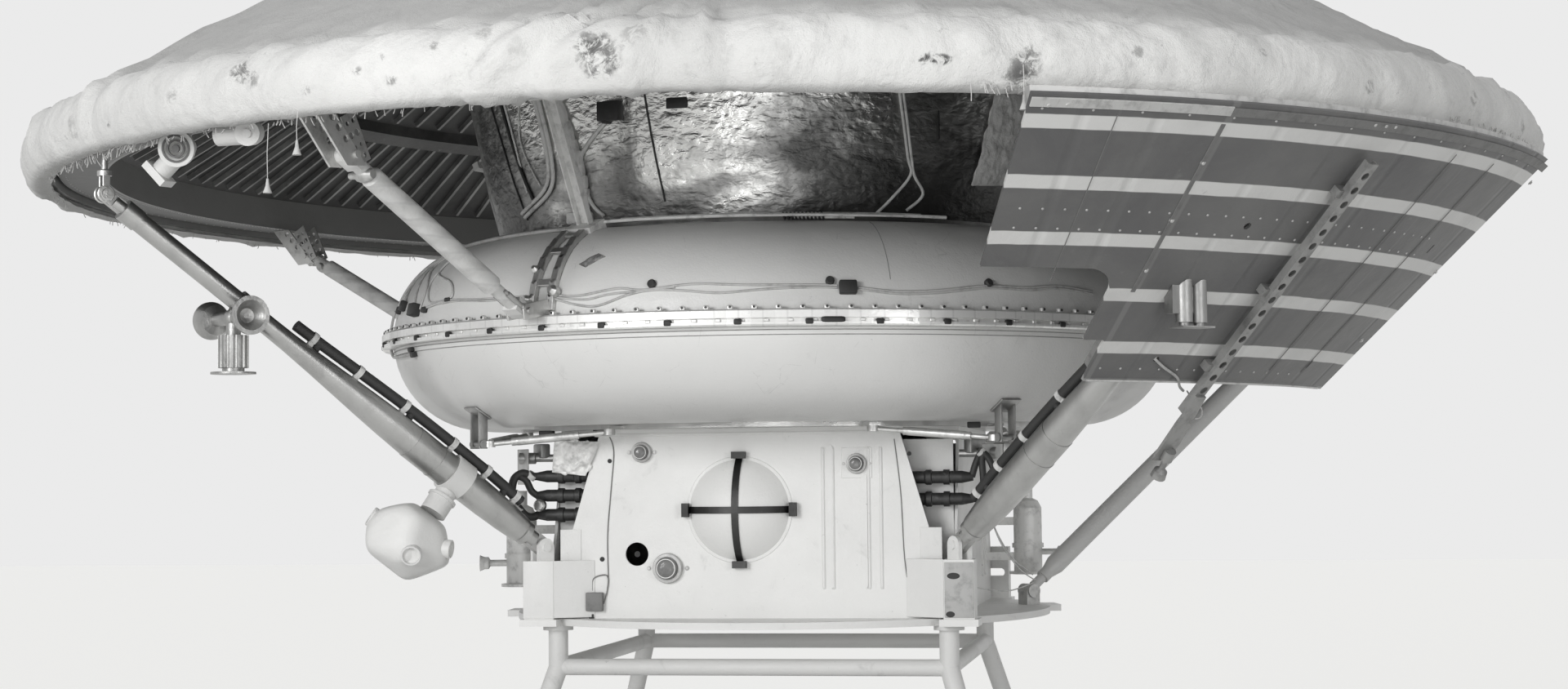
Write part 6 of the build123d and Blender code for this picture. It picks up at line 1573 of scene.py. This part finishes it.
class LANDER_OT_box(Operator):
    """Instrument box with its caps, straps and plugs"""
    bl_idname = "lander.box"
    bl_label = "Instrument box"

    def execute(self, context):
        paint = context.scene.lander_paint
        box = white_paint(paint, "box_paint", 0.84)
        for node in ("front_panel", "right_panel", "rear_panel", "left_panel", "box_lid", "sphere_tanks",
                     "corner_fittings", "base_plate"):
            repaint(node, box)
        repaint("instrument_container", drawn_tube("container_alloy", 0.5, 0.3))
        repaint("tank_straps", dark_alloy("strap_steel", 0.03, 0.35, 0.8))
        repaint("corner_plugs", plug_finish())
        repaint("valve_bottles", plain("bottle_paint", 0.78, 0.4, 0.2))
        return {"FINISHED"}


# Fittings on the front panel: kind, x, level, radius
FRONT_BUTTONS = (
    ("glass", -0.221, 0.339, 0.02), ("glass", -0.168, 0.102, 0.03), ("glass", 0.223, 0.311, 0.02),
    ("dot", -0.289, 0.322, 0.0045), ("dot", -0.306, 0.121, 0.005), ("dot", -0.232, 0.131, 0.006),
    ("dot", 0.392, 0.06, 0.005), ("dot", 0.33, 0.33, 0.0045), ("dot", -0.36, 0.03, 0.0045),
)
# Wires on the front panel: radius, lift, (x, level) places
FRONT_WIRES = (
    (0.0012, 0.0012, ((-0.293, 0.084), (-0.294, 0.172), (-0.286, 0.266), (-0.28, 0.341), (-0.289, 0.373))),
    (0.0013, 0.003, (
        (-0.332, 0.03), (-0.327, 0.054), (-0.324, 0.081), (-0.301, 0.089), (-0.293, 0.081), (-0.296, 0.054),
        (-0.303, 0.03))),
    (0.001, 0.0012, ((0.3, 0.36), (0.312, 0.25), (0.318, 0.12), (0.33, 0.04))),
)
# Hoses by the box's corners: radius, (x, y, level) places
HOSES = (
    (0.0085, (
        (-0.452, -0.383, 0.292), (-0.466, -0.388, 0.293), (-0.48, -0.396, 0.299), (-0.496, -0.404, 0.288),
        (-0.5, -0.41, 0.262), (-0.492, -0.416, 0.24))),
    (0.0075, (
        (-0.452, -0.383, 0.252), (-0.464, -0.388, 0.262), (-0.474, -0.394, 0.284), (-0.486, -0.4, 0.292))),
    (0.0085, (
        (-0.452, -0.383, 0.212), (-0.462, -0.392, 0.208), (-0.474, -0.402, 0.212), (-0.486, -0.412, 0.228))),
    (0.007, (
        (0.452, -0.383, 0.282), (0.462, -0.386, 0.312), (0.474, -0.392, 0.33), (0.488, -0.398, 0.318),
        (0.5, -0.404, 0.29), (0.504, -0.41, 0.262), (0.498, -0.416, 0.24))),
    (0.007, (
        (0.452, -0.383, 0.238), (0.468, -0.388, 0.24), (0.476, -0.392, 0.27), (0.474, -0.394, 0.318),
        (0.482, -0.396, 0.33))),
    (0.005, (
        (0.448, -0.39, 0.19), (0.462, -0.396, 0.204), (0.478, -0.402, 0.202), (0.484, -0.406, 0.188),
        (0.47, -0.404, 0.176), (0.452, -0.396, 0.184))),
)
# Thin wires from the right fitting to the thin strut's foot: (x, y, level) places
LOOSE_WIRES = (
    (0.0016, (
        (0.47, -0.3, 0.24), (0.486, -0.23, 0.17), (0.51, -0.12, 0.11), (0.53, 0.02, 0.08),
        (0.538, 0.09, 0.066))),
    (0.0014, (
        (0.47, -0.3, 0.236), (0.492, -0.22, 0.15), (0.52, -0.1, 0.09), (0.54, 0.04, 0.06),
        (0.545, 0.092, 0.056))),
    (0.0014, ((0.426, -0.25, 0.06), (0.46, -0.18, 0.046), (0.5, -0.06, 0.038), (0.54, 0.09, 0.048))),
)
# Plain pieces in each corner under the ring: x, y, level, size, edge, segments of the edge
CORNER_BLOCKS = (
    (0.492, 0.352, 0.312, (0.06, 0.074, 0.003), 0.001, 1),
    (0.455, 0.34, 0.345, (0.046, 0.03, 0.022), 0.004, 2),
)
# Corners of the crumpled pouch: x, y, level
POUCH_CORNERS = (
    (-0.409, -0.428, 0.3), (-0.338, -0.428, 0.292), (-0.308, -0.424, 0.362), (-0.405, -0.424, 0.366),
)
# Ribs of the front panel
RIB_XS = (0.154, 0.174, 0.247, 0.272)
# Dark sleeves along the box's upper edge: x, level, width, height
EDGE_BLOCKS = ((-0.3045, 0.3825, 0.032, 0.015), (-0.42, 0.379, 0.03, 0.014), (0.462, 0.386, 0.026, 0.012))
# White collars round the hoses: x, y, level, radius
HOSE_COLLARS = (
    (-0.464, -0.3875, 0.2935, 0.0092), (-0.486, -0.412, 0.228, 0.0092), (0.4735, -0.392, 0.33, 0.008),
    (0.498, -0.416, 0.241, 0.008), (0.466, -0.387, 0.24, 0.0078),
)


class LANDER_OT_box_fittings(Operator):
    """Glass buttons, connector, wires, ribs, pouch and hoses of the instrument box"""
    bl_idname = "lander.box_fittings"
    bl_label = "Instrument box fittings"

    def execute(self, context):
        rims, lenses, dots = [], [], []
        for kind, x, level, radius in FRONT_BUTTONS:
            for turn in (0.0, math.pi):
                matrix = Matrix.Rotation(turn, 4, "Z") @ framed(on_front(x, level), FORWARD)
                if kind == "dot":
                    dot = lathe("dot", [(0.0, 0.0012), (radius, 0.001), (radius, -0.0006), (0.0, -0.0006)], 16)
                    dots.append(placed(dot, matrix))
                    continue
                rise = 0.0104 if radius > 0.025 else 0.0094
                rim = lathe("rim", [(radius * 0.68, rise), (radius * 0.8, rise + 0.0022),
                                    (radius * 0.98, rise + 0.0012), (radius + 0.0008, rise - 0.002),
                                    (radius + 0.0012, 0.0)], 36)
                rims.append(placed(rim, matrix))
                lens = lathe("lens", [(0.0, rise + 0.016), (radius * 0.3, rise + 0.0157),
                                      (radius * 0.56, rise + 0.0146), (radius * 0.7, rise + 0.0115),
                                      (radius * 0.735, rise + 0.0055), (radius * 0.72, rise)], 36)
                lenses.append(placed(lens, matrix))
                for side in (-1, 1):
                    shift = Matrix.Translation((side * radius * 1.32, 0, 0))
                    rims.append(placed(bolt("screw", 0.0034, 0.003), matrix @ shift))
        dress(joined("button_rims", rims), plain("button_rim", 0.5, 0.35, 0.3))
        glass = plain("button_glass", 0.2, 0.1, 0.0, 30.0, 0.003)
        dress(joined("button_lenses", lenses), glass, ROUNDED)
        dress(joined("panel_dots", dots), plain("dot_dark", 0.02, 0.6))

        self.corner_plates(context)
        trim = [self.on_panel("square", 0.223, 0.313, 0.0008, (0.062, 0.062, 0.0022), 0.0008, 1)]
        connector = self.on_panel("connector", -0.3205, 0.0345, 0.008, (0.035, 0.038, 0.016), 0.002)
        dress(connector, plain("connector_grey", 0.2, 0.5))
        trim += [self.rib(on_front(x, 0.053), on_front(x, 0.35)) for x in RIB_XS]
        trim.append(self.on_panel("edge", 0.0, 0.3745, 0.0015, (0.64, 0.006, 0.004), 0.0012))
        paint = white_paint(context.scene.lander_paint, "trim_paint", 0.84)
        dress(joined("front_trim", trim), paint)
        small = [self.on_panel("socket", -0.329, 0.004, 0.002, (0.01, 0.01, 0.006), 0.0008)]
        small += [self.on_panel("sleeve", x, level, 0.006, (width, height, 0.02), 0.002)
                  for x, level, width, height in EDGE_BLOCKS]
        dress(joined("front_sleeves", small), plain("buckle_black", 0.025, 0.5))
        cables("front_wires", FRONT_WIRES, on_front, plain("front_wire", 0.22, 0.6))

        rubber = plain("hose_rubber", 0.028, 0.5, 0.0, 60.0, 0.001)
        wires("corner_hoses", HOSES, 8, rubber, 3)
        wires("foot_wires", LOOSE_WIRES, 8, plain("foot_wire", 0.7, 0.6))
        collars = []
        for x, y, level, radius in HOSE_COLLARS:
            collar = lathe("collar", [(radius, -0.006), (radius + 0.002, -0.005), (radius + 0.002, 0.005),
                                      (radius, 0.006)], 20)
            collars.append(placed(collar, framed(spot(x, y, level), (0.75 if x < 0 else -0.75, -0.15, 0.64))))
        dress(joined("hose_collars", collars), plain("collar_tape", 0.74, 0.7), ROUNDED)
        knob = turned("knob", spot(-0.44, -0.382, 0.232), spot(-0.443, -0.412, 0.232), (
            (0.0, 0.007), (0.012, 0.007), (0.014, 0.0125), (0.026, 0.0125), (0.03, 0.009)), 20)
        dress(knob, plain("knob_steel", 0.5, 0.22, 0.9))
        pouch = patch("corner_pouch", [spot(*place) for place in POUCH_CORNERS], 0.004, 0.01, 0.011, 56)
        dress(pouch, plain("pouch_cloth", 0.9, 0.95, 0.0, 60.0, 0.002), ROUNDED)
        return {"FINISHED"}

    def corner_plates(self, context):
        """White plates that close the box's corners, and the faces of its front fittings; the right face and
        the dark ovals on it are painted shade.
        """
        white = white_paint(context.scene.lander_paint, "corner_paint", 0.82)
        corners = [(side, face) for side in (-1, 1) for face in (-1, 1)]
        plates = [block("lining", (0.112, 0.34, 0.002),
                        framed(spot(side * 0.356, face * LINING_Y, 0.19), (0.0, face, 0.0)), 0.0006, 1)
                  for side, face in corners]
        for side in (-1, 1):
            start = spot(side * 0.4, -FITTING_FACE + 0.0006, 0.061)
            end = spot(side * 0.322, -BOX_FACE - 0.0006, 0.061)
            matrix = framed(start.lerp(end, 0.5), UP.cross(start - end) * side)
            plates.append(block("web", ((end - start).length, 0.116, 0.0022), matrix, 0.0006, 1))
            plates.append(self.on_panel("shoulder", side * 0.372, 0.15, 0.0008,
                                        (0.044, 0.064, 0.0022), 0.0006, 1))
        lift = FITTING_FACE - BOX_FACE
        plates.append(self.on_panel("face", -0.43, 0.0605, lift, (0.064, 0.117, 0.0022), 0.0008))
        dress(joined("corner_plates", plates), white)
        steel = []
        for side, face in corners:
            for x, y, level, size, edge, segments in CORNER_BLOCKS:
                matrix = framed(spot(side * x, face * y, level), (side * 0.8, face * 0.6, 0.0))
                steel.append(block("clutter", size, matrix, edge, segments))
            steel.append(turned("clutter", spot(side * 0.424, face * 0.345, 0.33),
                                spot(side * 0.5, face * 0.352, 0.33),
                                ((0.0, 0.008), (0.04, 0.008), (0.042, 0.012), (0.076, 0.012)), 16))
        dress(joined("corner_clutter", steel), drawn_tube("clutter_alloy", 0.45, 0.35))
        # Painted shade: the right fitting's recessed face is painted grey
        face = self.on_panel("face", 0.431, 0.058, lift, (0.058, 0.11, 0.002), 0.0008)
        dress(face, plain("fitting_face_shade", 0.46, 0.5, 0.1))
        # Painted shade: dark flat ovals stand for the shade in the right fitting's hole and notch
        hole_shades = []
        for x, level, width, height in ((0.42, 0.086, 0.026, 0.013), (0.413, 0.01, 0.018, 0.012)):
            mark = lathe("mark", [(0.0, 0.0012), (0.47, 0.0012), (0.5, 0.0), (0.0, 0.0)], 24)
            stretch = Matrix.Diagonal((width, height, 1.0, 1.0))
            hole_shades.append(placed(mark, framed(on_front(x, level, lift + 0.0008), FORWARD) @ stretch))
        dress(joined("fitting_hole_shades", hole_shades), plain("hole_shade_dark", 0.03, 0.6))
        collars = []
        for turn in (0.0, math.pi):
            collar = lathe("collar", [
                (TANK_HOLE - 0.0035, 0.0004), (TANK_HOLE - 0.001, 0.0022), (TANK_HOLE + 0.004, 0.0018),
                (TANK_HOLE + 0.0055, -0.0002), (TANK_HOLE - 0.0035, -0.001)], 96)
            collars.append(placed(collar, Matrix.Rotation(turn, 4, "Z")
                                  @ framed(on_front(TANK_X, TANK_LEVEL), FORWARD)))
        dress(joined("tank_collars", collars), white)

    def on_panel(self, name, x, level, lift, size, edge, segments=2):
        """Block on the front panel's face."""
        return block(name, size, framed(on_front(x, level, lift), FORWARD), edge, segments)

    def rib(self, foot, top):
        """Pressed rib with tapered ends."""
        rib = block("rib", (0.011, (top - foot).length, 0.008), Matrix.Identity(4), 0.0)
        for vertex in rib.data.vertices:
            if vertex.co.z > 0:
                vertex.co.x *= 0.35
                vertex.co.y *= 0.94
        modified(rib, "BEVEL", width=0.0018, segments=3)
        return placed(rib, framed(foot.lerp(top, 0.5), FORWARD))


class LANDER_OT_stand(Operator):
    """Painted tube stand"""
    bl_idname = "lander.stand"
    bl_label = "Stand"

    def execute(self, context):
        stand = white_paint(context.scene.lander_paint, "stand_paint", 0.72, 1.6)
        repaint("stand_frame", stand)
        repaint("stand_feet", stand)
        return {"FINISHED"}


# Soft lamps: name, place, size, setting of the power and share of it; point that they aim at
LAMPS = (
    ("key", (-2.6, -6.0, 2.5), 2.2, "key_power", 1.0),
    ("fill", (4.4, -5.0, 2.0), 2.0, "fill_power", 1.0),
    ("low", (0.5, -5.0, 0.5), 2.0, "fill_power", 0.5),
    ("back", (0.0, 5.5, 4.5), 3.0, "fill_power", 1.0),
)
LAMP_AIM = (0.0, 0.0, 1.7)
# Camera as solved from the photo: level distance from the axis, height over the floor,
# and in degrees its place round the object, its pitch, yaw and roll
CAMERA_DISTANCE = 5.3903
CAMERA_HEIGHT = 1.2336
CAMERA_TURNS = (9.769, 3.127, 0.051, -0.601)


class LANDER_OT_stage(Operator):
    """Pale floor and backdrop, soft lamps and the camera"""
    bl_idname = "lander.stage"
    bl_label = "Stage"

    def execute(self, context):
        settings = context.scene.lander_stage
        scene = context.scene
        deselect()
        bpy.ops.mesh.primitive_plane_add(size=60.0, location=(0, 0, 0))
        floor = current("floor")
        b = Board("floor_paper")
        tone = b.mix(b.noise(0.7, 3.0) * 0.3, grey(0.5), grey(0.48))
        glow = b.mix(b.seen(), (0.0, 0.0, 0.0), grey(settings.floor_glow))
        coat(floor, b.finish(tone, 0.85, 0.0, Emission_Color=glow, Emission_Strength=1.0))

        b = Board("studio", world=True)
        scene.world = b.owner
        light = b.add("ShaderNodeBackground", {}, {"Color": (1.0, 1.0, 1.0), "Strength": settings.sky})
        backdrop = b.add("ShaderNodeBackground", {}, {"Color": (0.83, 0.83, 0.83), "Strength": 1.0})
        blend = b.add("ShaderNodeMixShader", {}, {0: b.seen(), 1: light.outputs[0], 2: backdrop.outputs[0]})
        b.add("ShaderNodeOutputWorld", {}, {0: blend.outputs[0]})

        for name, place, size, setting, share in LAMPS:
            lamp = bpy.data.lights.new(name, "AREA")
            lamp.energy = getattr(settings, setting) * share
            lamp.shape = "DISK"
            lamp.size = size
            holder = bpy.data.objects.new(name, lamp)
            holder.location = place
            holder.rotation_euler = (Vector(LAMP_AIM) - Vector(place)).to_track_quat("-Z", "Y").to_euler()
            scene.collection.objects.link(holder)

        turn, pitch, yaw, roll = [math.radians(degrees) for degrees in CAMERA_TURNS]
        heading = yaw - turn
        flat = math.cos(pitch)
        ahead = Vector((math.sin(heading) * flat, math.cos(heading) * flat, math.sin(pitch)))
        right = Vector((math.cos(heading), -math.sin(heading), 0.0))
        up = right.cross(ahead)
        side = right * math.cos(roll) + up * math.sin(roll)
        top = up * math.cos(roll) - right * math.sin(roll)
        place = Vector((CAMERA_DISTANCE * math.sin(turn), -CAMERA_DISTANCE * math.cos(turn), CAMERA_HEIGHT))
        camera_data = bpy.data.cameras.new("camera")
        camera_data.lens = settings.lens
        camera_data.sensor_width = 36.0
        camera = bpy.data.objects.new("camera", camera_data)
        camera.matrix_world = Matrix.Translation(place) @ Matrix((side, top, -ahead)).transposed().to_4x4()
        scene.collection.objects.link(camera)
        scene.camera = camera
        scene.view_settings.view_transform = "Standard"
        return {"FINISHED"}


STEPS = (
    LANDER_OT_cover, LANDER_OT_cover_threads, LANDER_OT_shell_inside, LANDER_OT_capsule,
    LANDER_OT_capsule_fittings, LANDER_OT_chute_ring, LANDER_OT_ring_cables, LANDER_OT_band_fittings,
    LANDER_OT_struts, LANDER_OT_sensor_head, LANDER_OT_hangers, LANDER_OT_strut_shoes, LANDER_OT_strut_fittings,
    LANDER_OT_striped_panel, LANDER_OT_panel_fittings,
    LANDER_OT_box, LANDER_OT_box_fittings, LANDER_OT_stand, LANDER_OT_stage,
)
SETTINGS = (
    ("lander_cover", CoverSettings), ("lander_foil", FoilSettings), ("lander_paint", PaintSettings),
    ("lander_skin", SkinSettings), ("lander_stage", StageSettings),
)


class LANDER_PT_finishes(Panel):
    """Sidebar list of the pieces and their settings"""
    bl_idname = "LANDER_PT_finishes"
    bl_label = "Lander finishes"
    bl_space_type = "VIEW_3D"
    bl_region_type = "UI"
    bl_category = "Lander"

    def draw(self, context):
        for step in STEPS:
            self.layout.operator(step.bl_idname)
        for name, group in SETTINGS:
            column = self.layout.column()
            for field in group.__annotations__:
                column.prop(getattr(context.scene, name), field)


def register():
    for name, group in SETTINGS:
        bpy.utils.register_class(group)
        setattr(bpy.types.Scene, name, PointerProperty(type=group))
    for step in STEPS:
        bpy.utils.register_class(step)
    bpy.utils.register_class(LANDER_PT_finishes)


def unregister():
    bpy.utils.unregister_class(LANDER_PT_finishes)
    for step in reversed(STEPS):
        bpy.utils.unregister_class(step)
    for name, group in reversed(SETTINGS):
        delattr(bpy.types.Scene, name)
        bpy.utils.unregister_class(group)


def main():
    random.seed(SEED)
    noise.seed_set(SEED)
    register()
    for step in STEPS:
        getattr(bpy.ops.lander, step.bl_idname.split(".")[1])()


if __name__ == "__main__":
    main()
